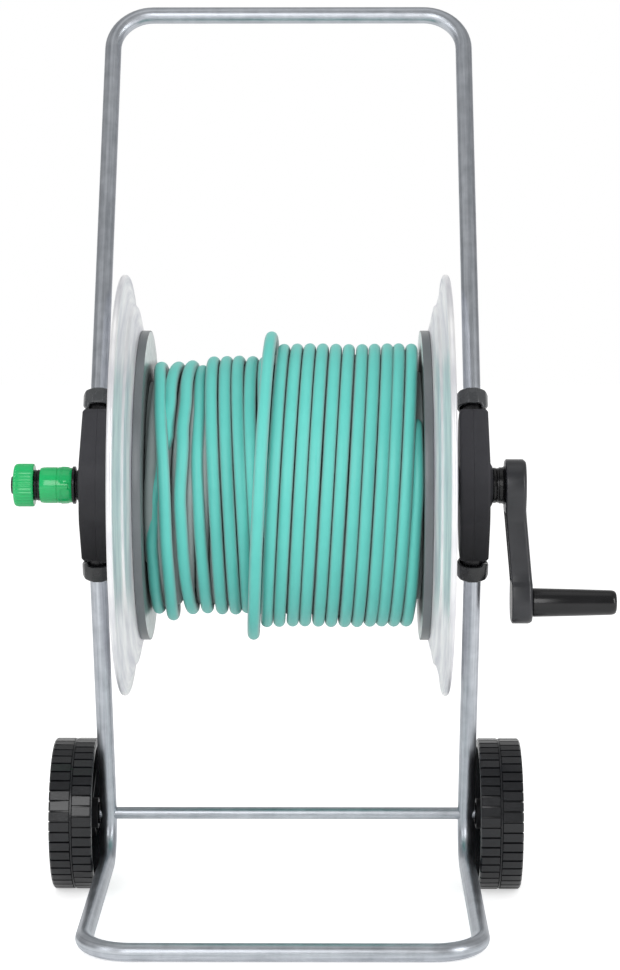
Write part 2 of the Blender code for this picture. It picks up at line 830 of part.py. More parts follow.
def build_inlet():
    clamp_low = FRAME_HALF - SPIGOT_CLAMP_WIDTH / 2
    clamp_high = FRAME_HALF + SPIGOT_CLAMP_WIDTH / 2
    spigot = [
        (NIPPLE_R, NIPPLE_END_X),
        (NIPPLE_R, CONNECTOR_X - GAP),
        (INLET_RING_R, CONNECTOR_X - GAP),
        (INLET_RING_R, RING_X),
        (INLET_NECK_R, RING_X),
        (INLET_NECK_R, INLET_X),
        (SPIGOT_R, INLET_X),
        (SPIGOT_R, clamp_high),
        (SPIGOT_CLAMP_R, clamp_high),
        (SPIGOT_CLAMP_R, clamp_low),
        (SPIGOT_R, clamp_low),
        *groove(SPIGOT_R, SWIVEL_SEAL_X),
        (SPIGOT_R, SPIGOT_END_X),
        (SPIGOT_BORE_R, SPIGOT_END_X),
        (SPIGOT_BORE_R, NIPPLE_END_X),
    ]
    turned_about_x("inlet_spigot", spigot, -1, "black_plastic", REEL_AXIS, steps=SMALL_STEPS)
    swivel = seal_profile(SPIGOT_R, SWIVEL_SEAL_X)
    turned_about_x("swivel_seal", swivel, -1, "rubber", REEL_AXIS, steps=SMALL_STEPS)
    seal_bore = around(NIPPLE_R + GAP / 2, SMALL_STEPS)
    nipple = ring_profile(
        seal_bore + SEAL_DEPTH, seal_bore, NIPPLE_SEAL_X, NIPPLE_SEAL_X + SEAL_WIDTH
    )
    turned_about_x("nipple_seal", nipple, -1, "rubber", REEL_AXIS, steps=SMALL_STEPS)


def build_connector():
    """The connector's core turns on the nipple, its sleeve slides and its nut screws."""
    axis = make_axis("connector_axis", REEL_AXIS)
    thread_r = CORE_R - THREAD_DEPTH
    seal_seat = around(around(NIPPLE_R + GAP / 2, SMALL_STEPS) + SEAL_DEPTH + GAP)
    seal_end_x = NIPPLE_SEAL_X + SEAL_WIDTH + GAP
    socket_r = around(NIPPLE_R + GAP)
    socket_end_x = NIPPLE_END_X + RUNNING_GAP
    core = [
        (CORE_TAIL_R, TIP_X),
        (CORE_TAIL_R, NUT_END_X - NUT_END_WALL - RUNNING_GAP),
        (thread_r, NUT_END_X - NUT_END_WALL - RUNNING_GAP),
        (thread_r, NUT_X - GAP),
        (CORE_R, NUT_X - GAP),
        (CORE_R, CONNECTOR_X),
        (seal_seat, CONNECTOR_X),
        (seal_seat, seal_end_x),
        (socket_r, seal_end_x),
        (socket_r, socket_end_x),
        (SPIGOT_BORE_R, socket_end_x),
        (SPIGOT_BORE_R, TIP_X),
    ]
    turned_about_x("connector_core", core, -1, "black_plastic", REEL_AXIS, axis)
    sleeve_bore = around(CORE_R + GAP)
    sleeve = [
        (SLEEVE_END_R, SLEEVE_END_X),
        (SLEEVE_R, SLEEVE_END_X - SLEEVE_BACK_TAPER),
        (SLEEVE_R, CONNECTOR_X + SLEEVE_FRONT_TAPER),
        (SLEEVE_END_R, CONNECTOR_X),
        (sleeve_bore, CONNECTOR_X),
        (sleeve_bore, SLEEVE_END_X),
    ]
    turned_about_x("release_sleeve", sleeve, -1, "green_plastic", REEL_AXIS, axis)
    build_hose_nut(axis, thread_r)


def build_hose_nut(axis, thread_r):
    """A cap nut over the core's thread, with the core's tail through its end."""
    profile = [
        (NUT_R - NUT_EDGE, NUT_END_X),
        (NUT_R, NUT_END_X - NUT_EDGE),
        (NUT_R, NUT_X),
        (around(thread_r + GAP), NUT_X),
        (around(thread_r + GAP), NUT_END_X - NUT_END_WALL),
        (around(CORE_TAIL_R + GAP), NUT_END_X - NUT_END_WALL),
        (around(CORE_TAIL_R + GAP), NUT_END_X),
    ]
    turned_about_x("hose_nut", profile, -1, "green_plastic", REEL_AXIS, axis)


# Reel: drum, discs, flanges and hubs, all on the reel axis


def hub_screw_places():
    """Screw centres round the reel axis, as (y, z) from it."""
    return [
        (
            HUB_SCREW_CIRCLE_R * math.cos(math.tau * i / HUB_SCREWS + math.pi / 2),
            HUB_SCREW_CIRCLE_R * math.sin(math.tau * i / HUB_SCREWS + math.pi / 2),
        )
        for i in range(HUB_SCREWS)
    ]


FLANGE_SEAT_X = DISC_OUTER_X + GAP
PLATE_X = FLANGE_SEAT_X + FLANGE_SHEET + GAP
PLATE_END_X = PLATE_X + HUB_PLATE
WEB_X = DISC_OUTER_X - DISC_WEB


def flange_profile():
    """The pressed sheet from its seat on the disc out to the rolled rim."""
    sheet = FLANGE_SHEET
    face = [
        (around(HUB_R + GAP, LARGE_STEPS), FLANGE_SEAT_X),
        (FLANGE_SEAT_R, FLANGE_SEAT_X),
        (FLANGE_STEP_R - FLANGE_STEP_WIDTH, FLANGE_MID_X),
        (FLANGE_STEP_R, FLANGE_BAND_X),
        (FLANGE_R - 2 * FLANGE_ROLL_R, FLANGE_RIM_X - FLANGE_ROLL_R),
    ]
    roll = [
        (
            FLANGE_R - FLANGE_ROLL_R + FLANGE_ROLL_R * math.sin(angle),
            FLANGE_RIM_X - FLANGE_ROLL_R * math.cos(angle),
        )
        for angle in (math.radians(60 * i) for i in range(4))
    ]
    back = [(radius, x + sheet) for radius, x in face[::-1]]
    return face + roll + back


def build_drum(axis):
    barrel_end = WEB_X - GAP
    barrel = turned_about_x(
        "drum_barrel",
        ring_profile(BARREL_R, BARREL_R - BARREL_WALL, -barrel_end, barrel_end),
        1,
        "grey_plastic",
        REEL_AXIS,
        axis,
        DRUM_STEPS,
    )
    hole_x = -(HUB_INNER_X - GAP - ELBOW_BEND_R)
    hole_start = REEL_AXIS + Vector((hole_x, 0.0, 0.0))
    hole_end = hole_start + Vector((0.0, 0.0, 2 * BARREL_R))
    cut(barrel, rod_cutter("barrel_hole", hole_start, hole_end, ELBOW_BORE_R, SCREW_STEPS))
    for tag, side in SIDES:
        disc_profile = [
            (DISC_R, DISC_OUTER_X),
            (DISC_R, DISC_INNER_X),
            (DISC_R - DISC_RIM_WIDTH, DISC_INNER_X),
            (DISC_R - DISC_RIM_WIDTH, WEB_X),
            (around(HUB_R + GAP, DRUM_STEPS), WEB_X),
            (around(HUB_R + GAP, DRUM_STEPS), DISC_OUTER_X),
        ]
        disc = turned_about_x(
            tag + "_drum_disc", disc_profile, side, "grey_plastic", REEL_AXIS, axis, DRUM_STEPS
        )
        flange = turned_about_x(
            tag + "_flange", flange_profile(), side, "sheet", REEL_AXIS, axis, LARGE_STEPS
        )
        hub = build_hub(tag, side, axis)
        build_hub_screws(tag, side, axis, (disc, flange, hub))


def build_hub(tag, side, axis):
    """A flanged bush that carries the reel: the left one turns on the spigot."""
    bore_r = around(SPIGOT_R + RUNNING_GAP) if side < 0 else around(SHAFT_R + GAP)
    neck_r = HUB_R - HUB_NECK_STEP
    profile = [
        (neck_r, HUB_OUTER_X),
        (neck_r, PLATE_END_X + HUB_FILLET),
        (neck_r + HUB_FILLET, PLATE_END_X),
        (HUB_PLATE_R, PLATE_END_X),
        (HUB_PLATE_R, PLATE_X),
        (HUB_R, PLATE_X),
        (HUB_R, HUB_INNER_X),
        (bore_r, HUB_INNER_X),
        (bore_r, HUB_OUTER_X),
    ]
    return turned_about_x(tag + "_hub", profile, side, "black_plastic", REEL_AXIS, axis)


def build_hub_screws(tag, side, axis, holed):
    """Screws through hub plate and flange into the disc's web."""
    end_x = WEB_X + GAP
    for i, (y, z) in enumerate(hub_screw_places()):
        at = REEL_AXIS + Vector((0.0, y, z))
        hole = rod_cutter(
            f"{tag}_hub_screw_hole_{i + 1}",
            at + Vector((side * (end_x - GAP), 0, 0)),
            at + Vector((side * (PLATE_END_X + REACH), 0, 0)),
            HUB_SCREW_R + GAP,
            SCREW_STEPS,
        )
        for piece in holed:
            cut(piece, hole)
        profile = [
            (0.0, PLATE_END_X + GAP + HUB_SCREW_HEAD),
            (HUB_SCREW_HEAD_R, PLATE_END_X + GAP + HUB_SCREW_HEAD - HUB_SCREW_DOME),
            (HUB_SCREW_HEAD_R, PLATE_END_X + GAP),
            (HUB_SCREW_R, PLATE_END_X + GAP),
            (HUB_SCREW_R, end_x),
            (0.0, end_x),
        ]
        turned_about_x(f"{tag}_hub_screw_{i + 1}", profile, side, "steel", at, axis, SCREW_STEPS)


def build_thrust_washers(axis):
    for tag, side in SIDES:
        bore = around((SPIGOT_R if side < 0 else SHAFT_R) + RUNNING_GAP)
        profile = ring_profile(THRUST_R, bore, HUB_OUTER_X + GAP, BRACKET_INNER_X - GAP)
        turned_about_x(tag + "_thrust_washer", profile, side, "steel", REEL_AXIS, axis)


def build_outlet(axis):
    """An elbow from the left hub's bore up to the hole in the barrel."""
    start_x = -(HUB_INNER_X - GAP)
    top_z = REEL_Z + (BARREL_R - BARREL_WALL) * math.cos(math.pi / DRUM_STEPS) - 2 * GAP
    corner = (start_x + ELBOW_BEND_R, REEL_Y, REEL_Z)
    route = bent_path([(start_x, REEL_Y, REEL_Z), corner, (corner[0], REEL_Y, top_z)],
                      [ELBOW_BEND_R - ELBOW_RUN], TUBE_BEND_STEPS)
    mesh = tube_mesh(route, ELBOW_R, 2)
    elbow = place("outlet_elbow", mesh, "black_plastic", Matrix(), axis)
    bore = tube_mesh(extended(route, REACH), ELBOW_BORE_R, 2)
    cut(elbow, make_cutter("elbow_bore", bore, Matrix()))


# Wound hose: one unbroken tube on a plain core


def ease(turn, span):
    """Rises smoothly from 0 to 1 over a span of turns past the left loops."""
    start, end = span
    share = min(max((turn - LEFT_LOOPS - start) / (end - start), 0.0), 1.0)
    return share * share * (3 - 2 * share)


def winding_radius(turn):
    """Two layers and one raised turn between them, which climbs and falls at the back."""
    layers = ease(turn, FIRST_CLIMB) + ease(turn, SECOND_CLIMB) - ease(turn, FALL)
    return LAYER_R + LAYER_STEP * layers


def winding_x(turn):
    """Turns slant one way on the left of the raised turn, and the other way on its right."""
    lean = math.cos(math.tau * turn) - 1
    left = LEFT_TOP_X + LEFT_PITCH * turn + LEFT_SLANT * lean
    right = RIGHT_TOP_X + RIGHT_PITCH * (turn - LAST_TOP) + RIGHT_SLANT * lean
    return left + (right - left) * ease(turn, CROSSING)


def winding_point(turn):
    """Turn 0 is at the top; the hose runs down the back and up the front."""
    angle = math.tau * turn
    radius = winding_radius(turn)
    return REEL_AXIS + Vector((winding_x(turn), radius * math.sin(angle), radius * math.cos(angle)))


def dive(turn, heading):
    """Points that leave the winding on a bend and run one diameter straight into the core."""
    point = winding_point(turn)
    along = (winding_point(turn + heading * 0.01) - winding_point(turn)).normalized()
    inward = REEL_AXIS - point
    inward.x = 0.0
    inward = (inward - along * inward.dot(along)).normalized()
    steps = 5
    points = []
    for i in range(1, steps + 1):
        angle = math.pi / 2 * i / steps
        points.append(
            point + along * END_BEND_R * math.sin(angle)
            + inward * END_BEND_R * (1 - math.cos(angle))
        )
    points.append(points[-1] + inward * 2 * HOSE_R)
    return points


def winding_route():
    count = round((END_TURN - START_TURN) * LOOP_POINTS)
    turns = [START_TURN + (END_TURN - START_TURN) * i / count for i in range(count + 1)]
    start = dive(START_TURN, -1)[::-1]
    end = dive(END_TURN, 1)
    return start, [winding_point(turn) for turn in turns], end


def least_gap(points):
    """The least distance between the hose's skins, half a loop or more apart along it."""
    route = np.array([tuple(point) for point in points])
    middles = (route[1:] + route[:-1]) / 2
    samples = np.empty((len(route) + len(middles), 3))
    samples[0::2] = route
    samples[1::2] = middles
    index = np.arange(len(samples))
    least = math.inf
    for i in index:
        others = samples[index > i + LOOP_POINTS]
        if len(others):
            least = min(least, np.linalg.norm(others - samples[i], axis=1).min())
    return least - 2 * HOSE_R


def build_hose(axis):
    start, loops, end = winding_route()
    route = start + loops + end
    gap = least_gap(route)
    print(f"hose winding: least gap to itself {gap * 1000:.2f} mm")
    mesh = tube_mesh(route, HOSE_R, (HOSE_SIDES - 4) // 2)
    place("hose_winding", mesh, "hose", Matrix(), axis)
    flat = math.cos(math.pi / LOOP_POINTS)
    low_r = LAYER_R * flat - HOSE_R - GAP
    high_r = (LAYER_R + LAYER_STEP) * flat - HOSE_R - GAP
    inner_r = around(BARREL_R + GAP, DRUM_STEPS)
    end_x = WEB_X - GAP
    profile = [
        (high_r, end_x),
        (high_r, LAYER_EDGE_X),
        (low_r, LAYER_EDGE_X),
        (low_r, -end_x),
        (inner_r, -end_x),
        (inner_r, end_x),
    ]
    core = turned_about_x("hose_core", profile, 1, "hose_below", REEL_AXIS, axis, DRUM_STEPS)
    pocket_r = around(HOSE_R + GAP, HOSE_SIDES)
    near_start = start + loops[:2]
    near_end = loops[-2:] + end
    for name, run in (("start_pocket", near_start), ("end_pocket", near_end)):
        mesh = tube_mesh(extended(run, GAP), pocket_r, (HOSE_SIDES - 4) // 2)
        cut(core, make_cutter(name, mesh, Matrix()))


# Crank on the right: shaft, bush, arm and a grip that turns on its pin


def build_crank_bush():
    pocket = SPIGOT_CLAMP_WIDTH
    profile = [
        (BUSH_FLANGE_R, BUSH_END_X),
        (BUSH_FLANGE_R, BOSS_X + GAP),
        (BUSH_R, BOSS_X + GAP),
        (BUSH_R, FRAME_HALF + pocket / 2),
        (BUSH_R + BUSH_FLANGE, FRAME_HALF + pocket / 2),
        (BUSH_R + BUSH_FLANGE, FRAME_HALF - pocket / 2),
        (BUSH_R, FRAME_HALF - pocket / 2),
        (BUSH_R, BRACKET_INNER_X),
        (around(SHAFT_R + RUNNING_GAP), BRACKET_INNER_X),
        (around(SHAFT_R + RUNNING_GAP), BUSH_END_X),
    ]
    turned_about_x("crank_bush", profile, 1, "black_plastic", REEL_AXIS)


def build_crank(axis):
    shaft = turned_about_x(
        "crank_shaft",
        cylinder_profile(SHAFT_R, SHAFT_INNER_X, SHAFT_END_X - GAP),
        1,
        "steel",
        REEL_AXIS,
        axis,
    )
    pin_x = SHAFT_INNER_X + CROSS_PIN_DEPTH
    pin_low = REEL_AXIS + Vector((pin_x, 0.0, -HUB_R))
    pin_high = REEL_AXIS + Vector((pin_x, 0.0, HUB_R))
    pin_mesh = turned_mesh(cylinder_profile(CROSS_PIN_R, -HUB_R, HUB_R), SCREW_STEPS)
    pin_place = Matrix.Translation(REEL_AXIS + Vector((pin_x, 0.0, 0.0)))
    place("cross_pin", pin_mesh, "steel", pin_place, axis)
    beyond = Vector((0.0, 0.0, CROSS_PIN_R))
    pin_hole = rod_cutter(
        "cross_pin_hole", pin_low - beyond, pin_high + beyond, CROSS_PIN_R + GAP, SCREW_STEPS
    )
    screw_start = SCREW_SEAT_X - GAP - CRANK_SCREW_LENGTH
    screw_hole = rod_cutter(
        "crank_screw_hole",
        REEL_AXIS + Vector((screw_start - GAP, 0, 0)),
        REEL_AXIS + Vector((SCREW_SEAT_X + REACH, 0, 0)),
        CRANK_SCREW_R + GAP,
    )
    cut(shaft, pin_hole, screw_hole)
    cut(bpy.data.objects["right_hub"], pin_hole)
    screw = [
        (0.0, SCREW_SEAT_X + CRANK_SCREW_HEAD),
        (CRANK_SCREW_HEAD_R, SCREW_SEAT_X + CRANK_SCREW_HEAD - CRANK_SCREW_DOME),
        (CRANK_SCREW_HEAD_R, SCREW_SEAT_X),
        (CRANK_SCREW_R, SCREW_SEAT_X),
        (CRANK_SCREW_R, screw_start),
        (0.0, screw_start),
    ]
    turned_about_x("crank_screw", screw, 1, "steel", REEL_AXIS, axis, SMALL_STEPS)
    build_crank_arm(axis, screw_hole)


def arc(radius, centre_z, span):
    """Points of an arc about a centre on the outline's middle line."""
    start, end = span
    angles = [start + (end - start) * i / (CRANK_ARC_POINTS - 1) for i in range(CRANK_ARC_POINTS)]
    return [(radius * math.cos(a), centre_z + radius * math.sin(a)) for a in angles]


def crank_outline():
    """The arm from the side: a wide head, a waist and a round lower end."""
    head = arc(CRANK_HEAD_R, 0.0, CRANK_HEAD_ARC)
    low = arc(CRANK_END_R, -CRANK_RADIUS, CRANK_END_ARC)
    left = [(-CRANK_WAIST, -CRANK_RADIUS * share) for share in CRANK_WAIST_SHARES]
    right = [(CRANK_WAIST, -CRANK_RADIUS * share) for share in CRANK_WAIST_SHARES[::-1]]
    return head + left + low + right


def drift(mesh):
    """Leans the arm outwards down to its lower end, which stays square to the grip."""
    span = CRANK_DRIFT_END - CRANK_DRIFT_START
    for vertex in mesh.vertices:
        share = (-vertex.co.y / CRANK_RADIUS - CRANK_DRIFT_START) / span
        vertex.co.z += CRANK_DRIFT * min(max(share, 0.0), 1.0)
    return mesh


def build_crank_arm(axis, screw_hole):
    body = bpy.data.objects.new("arm_body", outline_mesh(crank_outline(), CRANK_THICK))
    CUTTERS.objects.link(body)
    channel_low = -CRANK_RADIUS + CRANK_END_R + CRANK_CHANNEL_WALL
    channel_high = -CRANK_HEAD_R - CRANK_CHANNEL_WALL
    half = CRANK_WAIST - CRANK_CHANNEL_WALL
    channel = box_cutter(
        "arm_channel",
        (-half, channel_low, -CRANK_THICK),
        (half, channel_high, -CRANK_THICK / 2 + CRANK_CHANNEL_DEPTH),
    )
    cut(body, channel)
    mesh = drift(mesh_of(body))
    middle = CRANK_INNER_X + CRANK_THICK / 2
    arm = place("crank_arm", mesh, "black_plastic", outline_matrix(middle, REEL_AXIS), axis)
    flare = turned_mesh(
        [
            (0.0, CRANK_INNER_X + CRANK_FLARE_ROOT),
            (CRANK_HUB_R + CRANK_FLARE, CRANK_INNER_X + CRANK_FLARE_ROOT),
            (CRANK_HUB_R + CRANK_FLARE, CRANK_INNER_X + CRANK_FLARE_END),
            (CRANK_HUB_R, CRANK_INNER_X - CRANK_FLARE_START),
            (CRANK_HUB_R, CRANK_HUB_X),
            (0.0, CRANK_HUB_X),
        ],
        MID_STEPS,
    )
    join(arm, make_cutter("arm_flare", flare, Matrix.Translation(REEL_AXIS) @ ALONG_X))
    shaft_hole = rod_cutter(
        "shaft_hole",
        REEL_AXIS + Vector((CRANK_HUB_X - REACH, 0, 0)),
        REEL_AXIS + Vector((SHAFT_END_X, 0, 0)),
        SHAFT_R + GAP,
        MID_STEPS,
    )
    head_hole = rod_cutter(
        "crank_screw_head_hole",
        REEL_AXIS + Vector((SCREW_SEAT_X - GAP, 0, 0)),
        REEL_AXIS + Vector((SCREW_SEAT_X + REACH, 0, 0)),
        CRANK_SCREW_HEAD_R + GAP,
    )
    pin_hole = rod_cutter(
        "grip_pin_hole",
        CRANK_AXIS + Vector((CRANK_INNER_X - REACH, 0, 0)),
        CRANK_AXIS + Vector((GRIP_X + REACH, 0, 0)),
        GRIP_PIN_R + GAP,
    )
    pin_head_hole = rod_cutter(
        "grip_pin_head_hole",
        CRANK_AXIS + Vector((CRANK_INNER_X - REACH, 0, 0)),
        CRANK_AXIS + Vector((PIN_HEAD_X + GRIP_PIN_HEAD + GAP, 0, 0)),
        GRIP_PIN_HEAD_R + GAP,
    )
    cut(arm, shaft_hole, screw_hole, head_hole, pin_hole, pin_head_hole)


def build_grip(axis):
    pin_end = GRIP_TIP_X - GRIP_END_WALL
    pin = [
        (0.0, pin_end),
        (GRIP_PIN_R, pin_end),
        (GRIP_PIN_R, PIN_HEAD_X + GRIP_PIN_HEAD),
        (GRIP_PIN_HEAD_R, PIN_HEAD_X + GRIP_PIN_HEAD),
        (GRIP_PIN_HEAD_R, PIN_HEAD_X),
        (0.0, PIN_HEAD_X),
    ]
    turned_about_x("grip_pin", pin, 1, "steel", CRANK_AXIS, axis, SMALL_STEPS)
    turning = make_axis("grip_axis", CRANK_AXIS)
    bore = around(GRIP_PIN_R + RUNNING_GAP)
    grip = [
        (0.0, GRIP_TIP_X),
        *((GRIP_END_R * share, GRIP_TIP_X - depth) for share, depth in GRIP_END_ROUND),
        (GRIP_ROOT_R, GRIP_X + GRIP_EDGE),
        (GRIP_ROOT_R - GRIP_EDGE, GRIP_X),
        (bore, GRIP_X),
        (bore, pin_end + RUNNING_GAP),
        (0.0, pin_end + RUNNING_GAP),
    ]
    turned_about_x("grip", grip, 1, "grip_plastic", CRANK_AXIS, turning)


# Wheels on the axle rod


def build_wheels():
    rim_in = WHEEL_R - WHEEL_RIM
    bore = around(AXLE_R + RUNNING_GAP, DRUM_STEPS)
    profile = [
        (WHEEL_R - WHEEL_EDGE, WHEEL_OUTER_X),
        (WHEEL_R, WHEEL_OUTER_X - WHEEL_EDGE),
        (WHEEL_R, WHEEL_INNER_X + WHEEL_EDGE),
        (WHEEL_R - WHEEL_EDGE, WHEEL_INNER_X),
        (rim_in, WHEEL_INNER_X),
        (rim_in, WHEEL_WEB_X),
        (WHEEL_HUB_R, WHEEL_WEB_X),
        (WHEEL_HUB_R, WHEEL_HUB_INNER_X),
        (bore, WHEEL_HUB_INNER_X),
        (bore, WHEEL_HUB_OUTER_X),
        (WHEEL_HUB_R, WHEEL_HUB_OUTER_X),
        (WHEEL_HUB_R, WHEEL_WEB_X + WHEEL_WEB),
        (rim_in, WHEEL_WEB_X + WHEEL_WEB),
        (rim_in, WHEEL_OUTER_X),
    ]
    for tag, side in SIDES:
        axis = make_axis(tag + "_wheel_axis", AXLE_AXIS)
        wheel = turned_about_x(
            tag + "_wheel", profile, side, "wheel_plastic", AXLE_AXIS, axis, DRUM_STEPS
        )
        low_x, high_x = sorted(
            side * x for x in (WHEEL_WEB_X - WHEEL_RIB_DEPTH, WHEEL_WEB_X + WHEEL_WEB / 2)
        )
        for i in range(WHEEL_RIBS):
            rib = box_cutter(
                f"{tag}_wheel_rib_{i + 1}",
                (low_x, -WHEEL_RIB_WIDTH / 2, (WHEEL_HUB_R + bore) / 2),
                (high_x, WHEEL_RIB_WIDTH / 2, rim_in + WHEEL_RIM / 2),
                Matrix.Translation(AXLE_AXIS) @ Matrix.Rotation(math.tau * i / WHEEL_RIBS, 4, "X"),
            )
            join(wheel, rib)


def build_axle():
    end_x = WHEEL_HUB_OUTER_X + GAP + CAP_DEPTH - CAP_WALL
    mesh = turned_mesh(cylinder_profile(AXLE_R, -end_x, end_x), SMALL_STEPS)
    place("axle_rod", mesh, "zinc", Matrix.Translation(AXLE_AXIS) @ ALONG_X)
    rod_bore = around(AXLE_R + GAP, SMALL_STEPS)
    washer = ring_profile(WASHER_R, rod_bore, WASHER_X, WASHER_X + WASHER_THICK)
    cap_x = WHEEL_HUB_OUTER_X + GAP
    cap = [
        (0.0, cap_x + CAP_DEPTH + GAP),
        (CAP_R - CAP_EDGE, cap_x + CAP_DEPTH + GAP),
        (CAP_R, cap_x + CAP_DEPTH - CAP_EDGE),
        (CAP_R, cap_x),
        (rod_bore, cap_x),
        (rod_bore, end_x + GAP),
        (0.0, end_x + GAP),
    ]
    for tag, side in SIDES:
        turned_about_x(tag + "_wheel_washer", washer, side, "steel", AXLE_AXIS, steps=SMALL_STEPS)
        turned_about_x(tag + "_axle_cap", cap, side, "steel", AXLE_AXIS, steps=SMALL_STEPS)


build_frame()
build_brackets()
build_collars()
build_clamp_screws()
build_inlet()
build_connector()
REEL = make_axis("reel_axis", REEL_AXIS)
build_drum(REEL)
build_thrust_washers(REEL)
build_outlet(REEL)
build_hose(REEL)
build_crank_bush()
build_crank(REEL)
build_grip(REEL)
build_wheels()
build_axle()
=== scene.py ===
"""Hose reel cart, dressed: zinc tube frame, steel-flanged reel with a wound green hose, wheels and crank."""

import json
import math

import bmesh
import bpy
from mathutils import Matrix, Vector


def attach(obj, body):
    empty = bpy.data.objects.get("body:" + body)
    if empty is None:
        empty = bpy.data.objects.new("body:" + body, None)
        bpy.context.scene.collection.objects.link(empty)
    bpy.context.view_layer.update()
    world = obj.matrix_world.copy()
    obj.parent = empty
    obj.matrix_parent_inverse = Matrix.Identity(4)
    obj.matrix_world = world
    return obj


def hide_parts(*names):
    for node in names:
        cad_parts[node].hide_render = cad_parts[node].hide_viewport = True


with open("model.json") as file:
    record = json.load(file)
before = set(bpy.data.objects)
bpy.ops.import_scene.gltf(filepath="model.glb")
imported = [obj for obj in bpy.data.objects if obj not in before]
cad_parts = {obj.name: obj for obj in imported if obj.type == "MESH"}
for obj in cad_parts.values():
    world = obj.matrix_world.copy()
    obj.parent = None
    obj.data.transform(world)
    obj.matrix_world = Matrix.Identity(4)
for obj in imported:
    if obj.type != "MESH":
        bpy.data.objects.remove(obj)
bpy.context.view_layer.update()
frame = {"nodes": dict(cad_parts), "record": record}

# Studio: a pale floor without an edge, a tall soft lamp at the front left, one on each side, a
# faint one above, and a long lens a little right of the middle that looks slightly down.

scene = bpy.context.scene
scene.view_settings.view_transform = "Standard"


def colour(code):
    """An sRGB hex value as linear colour."""
    channels = [int(code[i:i + 2], 16) / 255 for i in (0, 2, 4)]
    return [c / 12.92 if c <= 0.04045 else ((c + 0.055) / 1.055) ** 2.4 for c in channels] + [1.0]


def add(tree, kind, settings=(), links=()):
    """Adds a shader node with its settings, then its links from other nodes' outputs."""
    made = tree.nodes.new("ShaderNode" + kind)
    for key, value in dict(settings).items():
        if isinstance(key, int) or key in made.inputs:
            made.inputs[key].default_value = value
        else:
            setattr(made, key, value)
    for key, source in dict(links).items():
        tree.links.new(source, made.inputs[key])
    return made


camera_data = bpy.data.cameras.new("camera")
camera_data.lens = 96.5
camera_data.sensor_width = 36.0
camera = bpy.data.objects.new("camera", camera_data)
scene.collection.objects.link(camera)
camera.location = (0.0423, -2.255, 0.563)
camera.rotation_euler = (math.radians(90 - 3.63), 0.0, math.radians(0.44))
scene.camera = camera

world = bpy.data.worlds.new("studio")
scene.world = world
world.use_nodes = True
sky = world.node_tree
sky.nodes.clear()
rays = add(sky, "LightPath")
direction = add(sky, "TexCoord")
split = add(sky, "SeparateXYZ", {}, {0: direction.outputs["Generated"]})
# What shines back from metal and gloss: the white backdrop straight behind, a dim room around,
# dimmest in front. Matt surfaces get an even light that is a little stronger from above.
backdrop = add(sky, "MapRange", {"From Min": 0.78, "From Max": 0.93, "To Min": 0.40, "To Max": 1.0},
               {"Value": split.outputs["Y"]})
room = add(sky, "MapRange", {"From Min": -0.9, "From Max": -0.2, "To Min": -0.14, "To Max": 0.0},
           {"Value": split.outputs["Y"]})
mirrored = add(sky, "Math", {"operation": "ADD"}, {0: backdrop.outputs[0], 1: room.outputs[0]})
ceiling = add(sky, "MapRange", {"From Min": 0.0, "From Max": 1.0, "To Min": 0.56, "To Max": 0.70},
              {"Value": split.outputs["Z"]})
level = add(sky, "Mix", {}, {0: rays.outputs["Is Glossy Ray"], 2: ceiling.outputs[0],
            3: mirrored.outputs[0]})
seen = add(sky, "Math", {"operation": "MAXIMUM"},
           {0: rays.outputs["Is Camera Ray"], 1: rays.outputs["Is Transmission Ray"]})
strength = add(sky, "Mix", {3: 1.0}, {0: seen.outputs[0], 2: level.outputs[0]})
light = add(sky, "Background", {"Color": colour("FFFFFF")}, {"Strength": strength.outputs[0]})
add(sky, "OutputWorld", {}, {"Surface": light.outputs[0]})


def lamp(name, place, aim, size, power):
    """A soft rectangular lamp turned towards its aim."""
    data = bpy.data.lights.new(name, "AREA")
    data.shape = "RECTANGLE"
    data.size, data.size_y = size
    data.energy = power
    made = bpy.data.objects.new(name, data)
    scene.collection.objects.link(made)
    made.location = place
    made.rotation_euler = (Vector(place) - Vector(aim)).to_track_quat("Z", "Y").to_euler()


middle = (0.0, 0.2, 0.42)
lamp("lamp_front", (-0.55, -2.7, 1.35), middle, (1.0, 1.7), 22.0)
lamp("lamp_right", (2.3, -1.4, 1.2), middle, (0.6, 1.8), 20.0)
lamp("lamp_left", (-2.3, -1.5, 1.3), middle, (0.6, 1.8), 14.0)
lamp("lamp_top", (0.0, 0.1, 2.6), middle, (1.8, 1.4), 3.0)

floor_mesh = bpy.data.meshes.new("floor")
floor_build = bmesh.new()
bmesh.ops.create_grid(floor_build, x_segments=1, y_segments=1, size=20.0)
floor_build.to_mesh(floor_mesh)
floor_build.free()
floor = bpy.data.objects.new("floor", floor_mesh)
scene.collection.objects.link(floor)
floor.location.z = -0.0006
paper = bpy.data.materials.new("white_studio_paper")
paper.use_nodes = True
tree = paper.node_tree
tree.nodes.clear()
rays = add(tree, "LightPath")
seen = add(tree, "Math", {"operation": "MULTIPLY_ADD", 1: 0.45},
           {0: rays.outputs["Is Glossy Ray"], 2: rays.outputs["Is Camera Ray"]})
white = add(tree, "Math", {"operation": "MULTIPLY", 1: 0.60}, {0: seen.outputs[0]})
glow = add(tree, "Emission", {"Color": colour("FFFFFF")}, {"Strength": white.outputs[0]})
matt = add(tree, "BsdfDiffuse", {"Color": colour("ECECEC")})
both = add(tree, "AddShader", {}, {0: glow.outputs[0], 1: matt.outputs[0]})
add(tree, "OutputMaterial", {}, {"Surface": both.outputs[0]})
floor_mesh.materials.append(paper)


# Frame: two lengths of 16.5 mm steel tube, bent cold and zinc plated. The upper one is the
# handle; the lower one makes both legs, the rear bends and the foot bar.

FRAME_HALF = 0.1775
TUBE_R = 0.00825
REEL = Vector((0.0, 0.216, 0.406))
